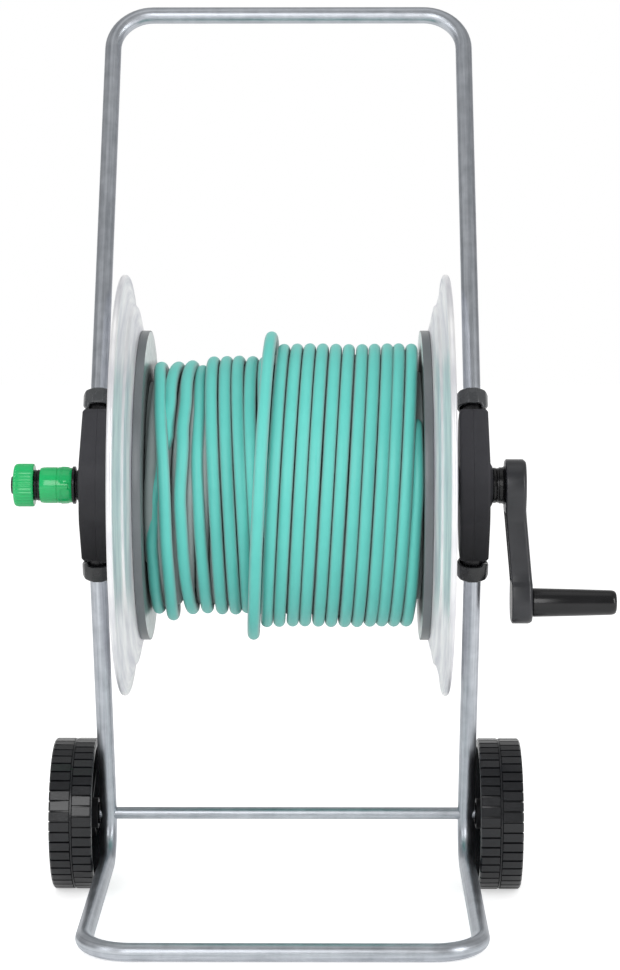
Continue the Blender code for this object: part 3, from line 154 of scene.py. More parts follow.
# Where the tubes' straight lines meet at the top and behind, as depth and height.
HANDLE_TOP = Vector((0.421, 0.873))
REAR_CORNER = Vector((0.319, 0.032))
# At the reel's height the lines of handle and legs pass this far in front of its axis.
HANDLE_AHEAD = 0.0381
LEG_AHEAD = 0.0451
LEAN = math.atan((HANDLE_TOP.x - REEL.y + HANDLE_AHEAD) / (HANDLE_TOP.y - REEL.z))
LEG_LEAN = math.atan((REAR_CORNER.x - REEL.y + LEG_AHEAD) / (REEL.z - REAR_CORNER.y))


def object_from(name, build, sharp=35):
    """Turns a bmesh into a linked object, smooth but for edges sharper than the angle."""
    bmesh.ops.recalc_face_normals(build, faces=build.faces)
    mesh = bpy.data.meshes.new(name)
    build.to_mesh(mesh)
    build.free()
    mesh.shade_smooth()
    mesh.set_sharp_from_angle(angle=math.radians(sharp))
    made = bpy.data.objects.new(name, mesh)
    scene.collection.objects.link(made)
    return made


def fit(piece, material, body, slot, *nodes_replaced):
    """Gives a piece its finish, sets it on its body and hides the CAD nodes it stands for."""
    piece.data.materials.clear()
    piece.data.materials.append(material)
    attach(piece, body)
    if nodes_replaced:
        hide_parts(*nodes_replaced)
    return piece


def bent(corners, radii, steps=14):
    """A polyline through the corners, each inner one rounded to its radius."""
    points = [Vector(corners[0])]
    for before, corner, after, radius in zip(corners, corners[1:], corners[2:], radii):
        into = (Vector(corner) - Vector(before)).normalized()
        out = (Vector(after) - Vector(corner)).normalized()
        turn = into.angle(out)
        start = Vector(corner) - into * radius * math.tan(turn / 2)
        inward = (out - into * into.dot(out)).normalized()
        for i in range(steps + 1):
            angle = turn * i / steps
            points.append(start + into * radius * math.sin(angle) + inward * radius * (1 - math.cos(angle)))
    points.append(Vector(corners[-1]))
    return points


def tube(name, points, radius, sides=32, outward=None):
    """A closed round tube along the points, unrolled in metres from its outward side on its UV map."""
    build = bmesh.new()
    layer = build.loops.layers.uv.new("UVMap")
    side = None
    length = 0.0
    lengths, rings = [], []
    for i, point in enumerate(points):
        low, high = points[max(i - 1, 0)], points[min(i + 1, len(points) - 1)]
        along = (high - low).normalized()
        if side is None:
            side = along.orthogonal().normalized()
        away = outward(point) if outward else side
        if (away - along * away.dot(along)).length < 0.5:
            away = side
        side = (away - along * away.dot(along)).normalized()
        up = along.cross(side)
        rings.append([
            build.verts.new(point + (side * math.cos(a) + up * math.sin(a)) * radius)
            for a in (math.tau * k / sides for k in range(sides))
        ])
        length += (point - points[max(i - 1, 0)]).length
        lengths.append(length)
    for i, (ring, after) in enumerate(zip(rings, rings[1:])):
        for k in range(sides):
            face = build.faces.new((ring[k], ring[(k + 1) % sides], after[(k + 1) % sides], after[k]))
            across = [math.tau * radius * j / sides for j in (k, k + 1, k + 1, k)]
            along = [lengths[i], lengths[i], lengths[i + 1], lengths[i + 1]]
            for loop, u, v in zip(face.loops, across, along):
                loop[layer].uv = (u, v)
    build.faces.new(rings[0])
    build.faces.new(rings[-1])
    return object_from(name, build, 50)


def empty_material(name):
    """A material with only its texture coordinates, returned with its tree and with them."""
    material = bpy.data.materials.new(name)
    material.use_nodes = True
    tree = material.node_tree
    tree.nodes.clear()
    return material, tree, add(tree, "TexCoord")


# Zinc-plated drawn steel. Die marks run along the tube: broad ones 2.5 mm apart and fine ones
# 0.6 mm apart. A cloudy film lies over them in patches of 15 mm, and the shine is soft.
zinc_tube, tree, place = empty_material("zinc_plated_drawn_steel")
broad = add(tree, "Mapping", {"Scale": (400.0, 2.5, 1.0)}, {"Vector": place.outputs["UV"]})
fine = add(tree, "Mapping", {"Scale": (1600.0, 30.0, 1.0)}, {"Vector": place.outputs["UV"]})
bands = add(tree, "TexNoise", {"Scale": 1.0, "Detail": 2.0}, {"Vector": broad.outputs[0]})
marks = add(tree, "TexNoise", {"Scale": 1.0, "Detail": 3.0}, {"Vector": fine.outputs[0]})
film = add(tree, "TexNoise", {"Scale": 65.0, "Detail": 4.0, "Roughness": 0.6},
           {"Vector": place.outputs["Object"]})
drawn = add(tree, "Mix", {0: 0.35}, {2: bands.outputs["Fac"], 3: marks.outputs["Fac"]})
mixed = add(tree, "Mix", {0: 0.30}, {2: drawn.outputs[0], 3: film.outputs["Fac"]})
spread = add(tree, "MapRange", {"From Min": 0.36, "From Max": 0.64}, {"Value": mixed.outputs[0]})
grey = add(tree, "Mix", {"data_type": "RGBA", 6: colour("A2A7AE"), 7: colour("D4D8DE")},
           {0: spread.outputs[0]})
shine = add(tree, "MapRange", {"To Min": 0.30, "To Max": 0.46}, {"Value": film.outputs["Fac"]})
ridges = add(tree, "Bump", {"Strength": 0.6, "Distance": 0.00004}, {"Height": drawn.outputs[0]})
shader = add(tree, "BsdfPrincipled", {"Metallic": 1.0}, {
    "Base Color": grey.outputs[2], "Roughness": shine.outputs[0], "Normal": ridges.outputs[0]})
add(tree, "OutputMaterial", {}, {"Surface": shader.outputs[0]})


def handle_y(z):
    """Depth of the handle's middle line at a height."""
    return HANDLE_TOP.x - (HANDLE_TOP.y - z) * math.tan(LEAN)


def leg_y(z):
    """Depth of the legs' middle line at a height."""
    return REAR_CORNER.x - (z - REAR_CORNER.y) * math.tan(LEG_LEAN)


handle_end_z = REEL.z + 0.036
handle = tube("handle_tube_drawn", bent(
    [(-FRAME_HALF, handle_y(handle_end_z), handle_end_z), (-FRAME_HALF, *HANDLE_TOP),
     (FRAME_HALF, *HANDLE_TOP), (FRAME_HALF, handle_y(handle_end_z), handle_end_z)],
    [0.040, 0.040]), TUBE_R)
fit(handle, zinc_tube, "chassis", "zinc_tube", "handle_tube")

leg_end_z = REEL.z - 0.030
bar_z = TUBE_R
base = tube("base_tube_drawn", bent(
    [(-FRAME_HALF, leg_y(leg_end_z), leg_end_z), (-FRAME_HALF, *REAR_CORNER),
     (-FRAME_HALF, 0.0, bar_z), (FRAME_HALF, 0.0, bar_z),
     (FRAME_HALF, *REAR_CORNER), (FRAME_HALF, leg_y(leg_end_z), leg_end_z)],
    [0.036, 0.044, 0.044, 0.036]), TUBE_R)
fit(base, zinc_tube, "chassis", "zinc_tube", "base_tube")


# Side brackets: each is two half shells of black polypropylene, moulded with a fine matt
# grain, closed over the ends of both tubes and held by screws. The seam faces forward.

SIDES = (("left", -1), ("right", 1))
BRACKET_INNER = FRAME_HALF - 0.0131
BRACKET_OUTER = FRAME_HALF + 0.0143
BOSS_X = BRACKET_OUTER + 0.0052
HANDLE_DIR = Vector((0.0, math.sin(LEAN), math.cos(LEAN)))
LEG_DIR = Vector((0.0, math.sin(LEG_LEAN), -math.cos(LEG_LEAN)))
TUBE_HOLE = 0.0088
NECK_RISE = 0.0675
NECK_DROP = 0.0652


def rounded(outline, size, steps=4, closed=True):
    """A 2D outline with each corner eased by up to that size."""
    count = len(outline)
    points = []
    for i, corner in enumerate(outline):
        here = Vector(corner)
        if not closed and i in (0, count - 1):
            points.append(tuple(here))
            continue
        before, after = Vector(outline[i - 1]), Vector(outline[(i + 1) % count])
        reach_in = min(size, (before - here).length * 0.48)
        reach_out = min(size, (after - here).length * 0.48)
        start = here + (before - here).normalized() * reach_in
        end = here + (after - here).normalized() * reach_out
        for k in range(steps + 1):
            t = k / steps
            points.append(tuple(start * (1 - t) ** 2 + here * 2 * t * (1 - t) + end * t * t))
    return points


def turned(name, profile, axis=REEL, steps=64, side=1, shape=None, direction=None):
    """Turns a closed (radius, distance) profile about an axis along X, or along a direction."""
    build = bmesh.new()
    layer = build.loops.layers.uv.new("UVMap")
    if direction is None:
        turn = Matrix.Rotation(math.pi / 2, 4, "Y")
    else:
        turn = direction.to_track_quat("Z", "Y").to_matrix().to_4x4()
    stand = Matrix.Translation(axis) @ turn
    rings = []
    for i in range(steps):
        angle = math.tau * i / steps
        ring = []
        for radius, distance in profile:
            if shape:
                radius, distance = shape(angle, radius, distance)
            ring.append(build.verts.new(stand @ Vector(
                (radius * math.cos(angle), radius * math.sin(angle), side * distance))))
        rings.append(ring)
    run = [0.0]
    for a, b in zip(profile, profile[1:] + profile[:1]):
        run.append(run[-1] + math.dist(a, b))
    reach = max(radius for radius, _ in profile)
    count = len(profile)
    for i in range(steps):
        ring, after = rings[i], rings[(i + 1) % steps]
        for k in range(count):
            j = (k + 1) % count
            if profile[k][0] == 0 and profile[j][0] == 0:
                continue
            face = build.faces.new((ring[k], ring[j], after[j], after[k]))
            across = [math.tau * reach * s / steps for s in (i, i, i + 1, i + 1)]
            along = [run[k], run[k + 1], run[k + 1], run[k]]
            for loop, u, v in zip(face.loops, across, along):
                loop[layer].uv = (u, v)
    bmesh.ops.remove_doubles(build, verts=build.verts, dist=1e-6)
    return object_from(name, build)


def lofted(name, rows, sharp=35):
    """A closed skin over rows of points, with a face on each end."""
    build = bmesh.new()
    rings = [[build.verts.new(point) for point in row] for row in rows]
    count = len(rows[0])
    for ring, after in zip(rings, rings[1:]):
        for k in range(count):
            j = (k + 1) % count
            build.faces.new((ring[k], ring[j], after[j], after[k]))
    build.faces.new(rings[0])
    build.faces.new(rings[-1])
    return object_from(name, build, sharp)


def along_chain(chain, z):
    """Where a chain of (y, z) points lies at a height."""
    for (y0, z0), (y1, z1) in zip(chain, chain[1:]):
        if z0 >= z >= z1:
            return y0 + (y1 - y0) * (z0 - z) / (z0 - z1)
    return chain[0][0] if z > chain[0][1] else chain[-1][0]


def smoothstep(value, low, high):
    """0 up to the low value, 1 from the high one, and eased between them."""
    share = min(max((value - low) / (high - low), 0.0), 1.0)
    return share * share * (3 - 2 * share)


def cloudy(name, cloud, tones, shine, bulk, relief=None, grain=None, painted_top_light=None):
    """A finish whose tone drifts with a cloud of noise, and its shine too where a range is given.

    Its relief is that of a finer grain, or of the cloud itself where there is no grain. With
    painted_top_light it goes from its first tone to its second between two heights: painted
    shade low down, painted light higher up.
    """
    material, tree, place = empty_material(name)
    spots = add(tree, "TexNoise", zip(("Scale", "Detail", "Roughness"), cloud),
                {"Vector": place.outputs["Object"]})
    share = spots.outputs["Fac"]
    # Painted light: the tone grows paler with height, painted shade low down, painted light above.
    if painted_top_light:
        height = add(tree, "SeparateXYZ", {}, {0: place.outputs["Object"]})
        above = add(tree, "MapRange", zip(("From Min", "From Max"), painted_top_light), {"Value": height.outputs["Z"]})
        share = add(tree, "Mix", {0: 0.30}, {2: above.outputs[0], 3: share}).outputs[0]
    dark, pale = map(colour, tones)
    tone = add(tree, "Mix", {"data_type": "RGBA", 6: dark, 7: pale}, {0: share})
    links = {"Base Color": tone.outputs[2]}
    if shine:
        gloss = add(tree, "MapRange", zip(("To Min", "To Max"), shine), {"Value": spots.outputs["Fac"]})
        links["Roughness"] = gloss.outputs[0]
    if relief:
        height = spots
        if grain:
            height = add(tree, "TexNoise", {"Scale": grain, "Detail": 2.0},
                         {"Vector": place.outputs["Object"]})
        bump = add(tree, "Bump", zip(("Strength", "Distance"), relief), {"Height": height.outputs["Fac"]})
        links["Normal"] = bump.outputs[0]
    shader = add(tree, "BsdfPrincipled", bulk, links)
    add(tree, "OutputMaterial", {}, {"Surface": shader.outputs[0]})
    return material


# Moulded polypropylene: near black, matt, with a spark-eroded grain of about 0.4 mm that
# breaks the shine up. It is painted paler in its upper half and darker below: painted light
# from above and painted shade underneath.
bracket_plastic = cloudy(
    "moulded_black_polypropylene", (45.0, 5.0, 0.65), ("070708", "434347"), (0.40, 0.58),
    {"IOR": 1.49, "Specular IOR Level": 0.18}, relief=(0.5, 0.00006), grain=2400.0, painted_top_light=(0.335, 0.435))

# Polished acetal for necks, rings and turned cores: black all through, smooth, rubbed in spots.
black_acetal = cloudy("polished_black_acetal", (400.0, 3.0), ("08080A", "151517"), (0.20, 0.34),
                      {"IOR": 1.48, "Specular IOR Level": 0.40})

top = Vector((handle_y(REEL.z + NECK_RISE) - REEL.y, NECK_RISE))
low = Vector((leg_y(REEL.z - NECK_DROP) - REEL.y, -NECK_DROP))
top_back = Vector((math.cos(LEAN), -math.sin(LEAN))) * 0.0135
low_back = Vector((math.cos(LEG_LEAN), math.sin(LEG_LEAN))) * 0.0135
front_wall = TUBE_R + 0.0045
handle_front = handle_y(handle_end_z) - REEL.y - front_wall / math.cos(LEAN)
leg_front = leg_y(leg_end_z) - REEL.y - front_wall / math.cos(LEG_LEAN)
nose = (leg_front + handle_front) / 2 - 0.003
front_chain = rounded([
    tuple(top - top_back), (handle_front, 0.038), (nose + 0.0014, 0.0225),
    (nose - 0.0012, 0.0080), (nose - 0.0012, -0.0190),
    (leg_front + 0.0004, -0.032), tuple(low - low_back)], 0.004, 3, False)
BACK_R = 0.031
back_arc = [(BACK_R * math.cos(a), BACK_R * math.sin(a))
            for a in (math.radians(50 - 10 * i) for i in range(11))]
back_chain = rounded([tuple(top + top_back), *back_arc, tuple(low + low_back)], 0.004, 2, False)


def shell_rows(side, x_seam, x_face, rise):
    """Sections of one half shell from the top neck down: a box with eased outer corners."""
    rows = []
    count = 64
    for i in range(count + 1):
        share = i / count
        z_front = front_chain[0][1] + (front_chain[-1][1] - front_chain[0][1]) * share
        z_back = back_chain[0][1] + (back_chain[-1][1] - back_chain[0][1]) * share
        front = Vector((along_chain(front_chain, z_front), z_front))
        back = Vector((along_chain(back_chain, z_back), z_back))
        middle_z = (z_front + z_back) / 2
        sign = 1 if x_face > x_seam else -1
        # The face stands proudest within 20 mm of the axis and falls off over the next 48 mm.
        face = x_face + rise * (1 - min(max(abs(middle_z) - 0.020, 0.0) / 0.048, 1.0))
        ease = 0.0034
        end = min(share, 1 - share) * 2 * NECK_RISE
        inset = 0.0012 * (1 - min(end / 0.0018, 1.0)) ** 2
        run = (back - front).length
        outline = rounded([
            (x_seam, inset), (face - sign * inset, inset), (face - sign * inset, run - inset),
            (x_seam, run - inset)], ease, 4)
        flat = [(x_seam, inset + 0.0001)]
        flat += [point for point in outline if abs(point[0] - x_seam) > ease * 0.9]
        flat += [(x_seam, run - inset - 0.0001)]
        unit = (back - front) / run
        rows.append([
            REEL + Vector((side * x, front.x + unit.x * depth, front.y + unit.y * depth))
            for x, depth in flat
        ])
    return rows


SEAM_HALF = 0.00006
NECKS = (("upper", REEL.z + NECK_RISE, HANDLE_DIR, handle_y, LEAN),
         ("lower", REEL.z - NECK_DROP, LEG_DIR, leg_y, LEG_LEAN))
for tag, side in SIDES:
    rise = 0.0017 if side < 0 else 0.0010
    for half, seam, x_face, proud in (("outer", SEAM_HALF, BRACKET_OUTER, rise),
                                      ("inner", -SEAM_HALF, BRACKET_INNER, 0.0)):
        shell = lofted(f"{tag}_bracket_{half}_shell", shell_rows(side, FRAME_HALF + seam, x_face, proud))
        fit(shell, bracket_plastic, "chassis", "bracket_plastic", f"{tag}_bracket_{half}")
    boss = turned(tag + "_bracket_boss", rounded([
        (0.0, BRACKET_OUTER - 0.0020), (0.0275, BRACKET_OUTER - 0.0020), (0.0270, BRACKET_OUTER - 0.0002),
        (0.0175, BOSS_X), (0.0, BOSS_X)], 0.0014, 3), side=side)
    fit(boss, bracket_plastic, "chassis", "bracket_plastic")
    for end, seat_z, heading, line, lean in NECKS:
        seat = Vector((side * FRAME_HALF, line(seat_z), seat_z))
        neck = turned(f"{tag}_bracket_neck_{end}", [
            (TUBE_HOLE, 0.0170), (0.0106, 0.0170), (0.0108, 0.0166), (0.0108, -0.006),
            (TUBE_HOLE, -0.006)],
            axis=seat, direction=heading, steps=40)
        fit(neck, black_acetal, "chassis", "bracket_plastic")


# Clamp collars: black nylon rings screwed over the brackets' necks, each with its edge cut
# back towards the bracket and faint flats round it for the fingers.

# Moulded nylon: smoother and glossier than the brackets, and like them painted paler above and darker below:
# painted light from above, painted shade underneath.
collar_nylon = cloudy("moulded_black_nylon", (90.0, 4.0), ("0E0F10", "4A4C4E"), (0.20, 0.34), {"IOR": 1.53},
                      relief=(0.4, 0.00004), grain=1800.0, painted_top_light=(0.34, 0.46))


def collar_shape(front, outer, lean):
    """Ten soft flats. The lower edge is cut level on the outer side and higher up elsewhere."""
    def shape(angle, radius, distance):
        if radius > 0.0128:
            share = (angle / math.tau * 10) % 1.0
            radius *= math.cos(math.pi / 10) / math.cos(math.pi / 10 * (2 * share - 1)) * 0.6 + 0.4
        if distance < 0.003:
            to_front, to_outer = math.cos(angle - front), math.cos(angle - outer)
            level = 0.0079 - 0.0150 * math.tan(lean) * max(to_front, 0.0)
            distance += level + (0.0062 - level) * (1 - smoothstep(to_outer, 0.60, 0.72))
        return radius, distance
    return shape


for tag, side in SIDES:
    for end, seat_z, heading, line, lean in NECKS:
        seat = Vector((side * FRAME_HALF, line(seat_z), seat_z))
        turn = heading.to_track_quat("Z", "Y").to_matrix().inverted()
        front, outer = turn @ Vector((0.0, -1.0, 0.0)), turn @ Vector((side, 0.0, 0.0))
        profile = [
            (TUBE_HOLE, 0.0226), (0.0120, 0.0226), (0.0134, 0.0222), (0.0145, 0.0212), (0.0150, 0.0196),
            (0.0150, 0.0016), (0.0147, 0.0004), (0.0140, 0.0), (0.0125, 0.0), (0.0125, 0.0173),
            (TUBE_HOLE, 0.0173)]
        collar = turned(f"{tag}_collar_{end}_ring", profile, axis=seat, direction=heading, steps=120,
                        shape=collar_shape(math.atan2(front.y, front.x), math.atan2(outer.y, outer.x), lean))
        fit(collar, collar_nylon, "chassis", "bracket_plastic", f"{tag}_collar_{end}")


# Water inlet on the left: a black spigot with a thin ring, and a push-fit hose connector of
# bright green ABS. Its sleeve slides, its ribbed nut screws over the black core.

# Moulded ABS: a clear bright green, glossy, with flow clouds of about 15 mm and fine pores that
# blur the edges of its highlights.
green_abs = cloudy("moulded_green_abs", (70.0, 3.0), ("12B860", "24C878"), (0.08, 0.18), {"IOR": 1.53},
                   relief=(0.3, 0.00003), grain=1500.0)

INLET_X = BOSS_X + 0.0003
RING_X = INLET_X + 0.0020
CONNECTOR_X = RING_X + 0.0031 + 0.0003
SLEEVE_END = CONNECTOR_X + 0.0306
NUT_X = SLEEVE_END + 0.0057
NUT_END = NUT_X + 0.0190
TIP_X = NUT_END + 0.0029

spigot = turned("inlet_spigot_turned", rounded([
    (0.0045, 0.1180), (0.0090, 0.1180), (0.0090, INLET_X), (0.0143, INLET_X), (0.0143, RING_X),
    (0.0180, RING_X + 0.0004), (0.0180, CONNECTOR_X - 0.0003), (0.0068, CONNECTOR_X - 0.0003),
    (0.0068, CONNECTOR_X + 0.0190), (0.0045, CONNECTOR_X + 0.0190)], 0.0005, 2), side=-1)
fit(spigot, black_acetal, "chassis", "bracket_plastic", "inlet_spigot")
core = turned("connector_core_turned", rounded([
    (0.0080, CONNECTOR_X + 0.0002), (0.0147, CONNECTOR_X + 0.0002), (0.0147, SLEEVE_END + 0.0010),
    (0.0149, SLEEVE_END + 0.0012), (0.0149, SLEEVE_END + 0.0024), (0.0143, SLEEVE_END + 0.0028),
    (0.0143, SLEEVE_END + 0.0036), (0.0147, SLEEVE_END + 0.0040),
    (0.0147, NUT_X - 0.0003), (0.0135, NUT_X - 0.0003), (0.0135, NUT_END - 0.0034),
    (0.00835, NUT_END - 0.0034), (0.00835, TIP_X), (0.0045, TIP_X), (0.0045, TIP_X - 0.012),
    (0.0060, TIP_X - 0.030)], 0.0005, 2), side=-1)
fit(core, black_acetal, "connector", "bracket_plastic", "connector_core")


def from_x(x, *points):
    """Points of a profile that are given as radius and distance beyond x."""
    return [(radius, x + beyond) for radius, beyond in points]


def sleeve_shape(angle, radius, distance):
    """Small raised finger panels on the sleeve's bracket end."""
    if radius > 0.0160 and CONNECTOR_X + 0.003 < distance < CONNECTOR_X + 0.0105:
        around = (angle + math.pi / 4) % (math.pi / 2) - math.pi / 4
        radius += 0.0005 * (1 - smoothstep(abs(around), 0.16, 0.19))
    return radius, distance


sleeve = turned(
    "release_sleeve_moulded",
    from_x(SLEEVE_END, (0.0151, 0), (0.0160, -0.0001), (0.0166, -0.0006), (0.0171, -0.0030),
           (0.0173, -0.0060))
    + from_x(CONNECTOR_X, (0.0173, 0.0146), (0.0168, 0.0143), (0.0168, 0.0136), (0.0173, 0.0133),
             (0.0173, 0.0106), (0.0172, 0.0104), (0.0171, 0.0070), (0.0169, 0.0035), (0.0168, 0.0030),
             (0.0166, 0.0008), (0.0160, 0), (0.0151, 0)),
    side=-1, steps=128, shape=sleeve_shape)
fit(sleeve, green_abs, "sleeve", "connector_green", "release_sleeve")


def nut_shape(angle, radius, distance):
    """Thirty-six rounded ribs along the nut."""
    if radius > 0.0185:
        radius -= 0.0006 * (0.5 - 0.5 * math.cos(36 * angle)) ** 1.5
    return radius, distance


nut = turned("hose_nut_moulded", [
    (0.0088, NUT_END), (0.0178, NUT_END), (0.0190, NUT_END - 0.0004), (0.0200, NUT_END - 0.0016),
    (0.0205, NUT_END - 0.0040), (0.0205, NUT_X + 0.0022), (0.0203, NUT_X + 0.0008),
    (0.0196, NUT_X), (0.0139, NUT_X), (0.0139, NUT_END - 0.0030), (0.0088, NUT_END - 0.0030)],
    side=-1, steps=288, shape=nut_shape)
fit(nut, green_abs, "nut", "connector_green", "hose_nut")


# Reel flanges: discs of thin galvanised sheet, dished from the rim to the edge of the drum
# disc, pressed with two shallow bands, rolled over at the rim and screwed between disc and hub.

# Brushed galvanised sheet: milky and bright. Rolling left long pale and dull patches of about
# 90 by 8 mm round it, and brushing hairs 0.6 mm apart, which is coarser than the real ones.
flange_sheet, tree, place = empty_material("brushed_galvanised_sheet")
from_reel = add(tree, "VectorMath", {"operation": "SUBTRACT", 1: REEL}, {0: place.outputs["Object"]})
spoke = add(tree, "VectorMath", {"operation": "MULTIPLY", 1: (0.0, 1.0, 1.0)}, {0: from_reel.outputs[0]})
heading = add(tree, "VectorMath", {"operation": "NORMALIZE"}, {0: spoke.outputs[0]})
reach = add(tree, "VectorMath", {"operation": "LENGTH"}, {0: spoke.outputs[0]})
outwards = add(tree, "CombineXYZ", {}, {"X": reach.outputs["Value"]})
round_reel = add(tree, "VectorMath", {"operation": "ADD"}, {0: heading.outputs[0], 1: outwards.outputs[0]})
rolled = add(tree, "Mapping", {"Scale": (125.0, 2.2, 2.2)}, {"Vector": round_reel.outputs[0]})
patches = add(tree, "TexNoise", {"Scale": 1.0, "Detail": 3.0, "Roughness": 0.55},
              {"Vector": rolled.outputs[0]})
brushed = add(tree, "Mapping", {"Scale": (1600.0, 4.0, 4.0)}, {"Vector": round_reel.outputs[0]})
hairs = add(tree, "TexNoise", {"Scale": 1.0, "Detail": 2.0}, {"Vector": brushed.outputs[0]})
mixed = add(tree, "Mix", {0: 0.22}, {2: patches.outputs["Fac"], 3: hairs.outputs["Fac"]})
spread = add(tree, "MapRange", {"From Min": 0.32, "From Max": 0.66}, {"Value": mixed.outputs[0]})
tone = add(tree, "Mix", {"data_type": "RGBA", 6: colour("CECFD8"), 7: colour("FFFFFF")},
           {0: spread.outputs[0]})
shine = add(tree, "MapRange", {"To Min": 0.30, "To Max": 0.42}, {"Value": hairs.outputs["Fac"]})
lines = add(tree, "Bump", {"Strength": 0.5, "Distance": 0.00002}, {"Height": hairs.outputs["Fac"]})
shader = add(tree, "BsdfPrincipled", {"Metallic": 0.45}, {
    "Base Color": tone.outputs[2], "Roughness": shine.outputs[0], "Normal": lines.outputs[0]})
add(tree, "OutputMaterial", {}, {"Surface": shader.outputs[0]})

DISC_OUTER = 0.1355
SEAT_X = DISC_OUTER + 0.0003
SHEET = 0.0012
RIM_X = 0.1515
ROLL_R = 0.0030
ROLL_MIDDLE = 0.1970
for tag, side in SIDES:
    face = [
        (0.0222, SEAT_X), (0.1480, SEAT_X), (0.1492, SEAT_X + 0.0003), (0.1560, 0.1378),
        (0.1575, 0.1384), (0.1695, 0.1408), (0.1705, 0.1414), (0.1716, 0.1430), (0.1730, 0.1437),
        (0.1885, 0.1480), (0.1915, 0.1486)]
    roll = [(ROLL_MIDDLE + ROLL_R * math.sin(a), RIM_X - ROLL_R * math.cos(a))
            for a in (math.radians(-30 + 20 * i) for i in range(13))]
    back = [(radius, x + SHEET) for radius, x in reversed(face)]
    flange = turned(tag + "_flange_pressed", face + roll + back, side=side, steps=192)
    fit(flange, flange_sheet, "reel", "flange_sheet", tag + "_flange")


# Drum: grey moulded discs beside the hose, each with a thin facing inside and a pale backing
# outside, a barrel between them, and black hubs screwed through the flanges.

# Moulded polystyrene: mid grey, a soft gloss, shallow sinks of about 30 mm left by cooling.
drum_plastic = cloudy("moulded_grey_polystyrene", (30.0, 4.0), ("5E6365", "70767A"), (0.30, 0.42),
                      {"IOR": 1.55}, relief=(0.3, 0.00015))

# Pale moulded polystyrene: nearly white and smooth, so it throws light back behind the flange.
pale_plastic = cloudy("moulded_pale_polystyrene", (60.0, 3.0), ("D8DADC", "F8F8F8"), None,
                      {"IOR": 1.55, "Roughness": 0.25})

# Rolled polystyrene facing: mottled pale above and below the winding, and painted an even
# grey beside it: painted shade from the turns.
lining_plastic, tree, place = empty_material("rolled_pale_polystyrene")
mottle = add(tree, "TexNoise", {"Scale": 110.0, "Detail": 4.0, "Roughness": 0.6},
             {"Vector": place.outputs["Object"]})
spread = add(tree, "MapRange", {"From Min": 0.35, "From Max": 0.65}, {"Value": mottle.outputs["Fac"]})
pale_mottle = add(tree, "Mix", {"data_type": "RGBA", 6: colour("CDCFCF"), 7: colour("F4F4F4")},
            {0: spread.outputs[0]})
from_middle = add(tree, "VectorMath", {"operation": "SUBTRACT", 1: REEL}, {0: place.outputs["Object"]})
parts = add(tree, "SeparateXYZ", {}, {0: from_middle.outputs[0]})
away = add(tree, "Math", {"operation": "ABSOLUTE"}, {0: parts.outputs["Z"]})
# Painted shade: within 114 mm of the axis height the facing is grey 727A7A, easing to pale by 119 mm.
clear = add(tree, "MapRange", {"From Min": 0.114, "From Max": 0.119}, {"Value": away.outputs[0]})
tone = add(tree, "Mix", {"data_type": "RGBA", 6: colour("727A7A")},
           {0: clear.outputs[0], 7: pale_mottle.outputs[2]})
shader = add(tree, "BsdfPrincipled", {"IOR": 1.55, "Roughness": 0.35}, {"Base Color": tone.outputs[2]})
add(tree, "OutputMaterial", {}, {"Surface": shader.outputs[0]})

DISC_INNER = 0.1277
DISC_R = 0.147
PLATE_X = SEAT_X + SHEET + 0.0003
HUB_END = BRACKET_INNER - 0.0020
for tag, side in SIDES:
    disc = turned(tag + "_drum_disc_moulded", rounded([
        (0.0219, DISC_OUTER - 0.0006), (0.1440, DISC_OUTER - 0.0006), (0.1442, DISC_OUTER),
        (DISC_R, DISC_OUTER), (DISC_R, DISC_INNER), (0.1462, DISC_INNER), (0.1461, DISC_INNER + 0.0005),
        (0.0219, DISC_INNER + 0.0030)], 0.0003, 2), side=side, steps=160)
    fit(disc, drum_plastic, "reel", "drum_plastic", tag + "_drum_disc")
    lining = turned(tag + "_drum_disc_lining", [
        (0.1460, DISC_INNER + 0.0006), (0.1460, DISC_INNER), (0.0980, DISC_INNER),
        (0.0980, DISC_INNER + 0.0012)], side=side, steps=160)
    fit(lining, lining_plastic, "reel", "drum_plastic")
    backing = turned(tag + "_drum_disc_backing", [
        (0.0222, DISC_OUTER - 0.0007), (0.0222, DISC_OUTER), (0.1439, DISC_OUTER),
        (0.1439, DISC_OUTER - 0.0007)], side=side, steps=160)
    fit(backing, pale_plastic, "reel", "drum_plastic")
    # The left hub runs on the inlet spigot, and the right one sits on the crank shaft.
    bore = 0.0095 if side < 0 else 0.0083
    hub = turned(tag + "_hub_moulded", rounded([
        (bore, 0.1100), (0.0215, 0.1100), (0.0215, PLATE_X), (0.038, PLATE_X), (0.038, PLATE_X + 0.004),
        (0.0200, PLATE_X + 0.004), (0.0175, PLATE_X + 0.006), (0.0175, HUB_END), (bore, HUB_END)],
        0.0007, 2), side=side)
    fit(hub, bracket_plastic, "reel", "bracket_plastic", tag + "_hub")
WEB_X = DISC_OUTER - 0.0040
barrel = turned("drum_barrel_moulded", [
    (0.070, WEB_X - 0.0003), (0.070, -WEB_X + 0.0003), (0.066, -WEB_X + 0.0003), (0.066, WEB_X - 0.0003)],
    steps=96)
fit(barrel, drum_plastic, "reel", "drum_plastic", "drum_barrel")


# The hose: 11.5 mm flexible PVC, sea green, wound in layers. The outer layer has eight
# slack turns on the left, one raised turn, and twelve tight ones a layer higher.

HOSE_R = 0.00575

# Flexible PVC: clear sea green with a soft shine, over a knit of threads that lifts the skin
# in stitches of about 1 by 4 mm.
hose_pvc, tree, place = empty_material("flexible_green_pvc")
cloud = add(tree, "TexNoise", {"Scale": 28.0, "Detail": 3.0}, {"Vector": place.outputs["Object"]})
knit = add(tree, "Mapping", {"Scale": (900.0, 260.0, 1.0)}, {"Vector": place.outputs["UV"]})
fibres = add(tree, "TexNoise", {"Scale": 1.0, "Detail": 2.0}, {"Vector": knit.outputs[0]})
tone = add(tree, "Mix", {"data_type": "RGBA", 6: colour("5AC9BE"), 7: colour("68D5CA")},
           {0: cloud.outputs["Fac"]})
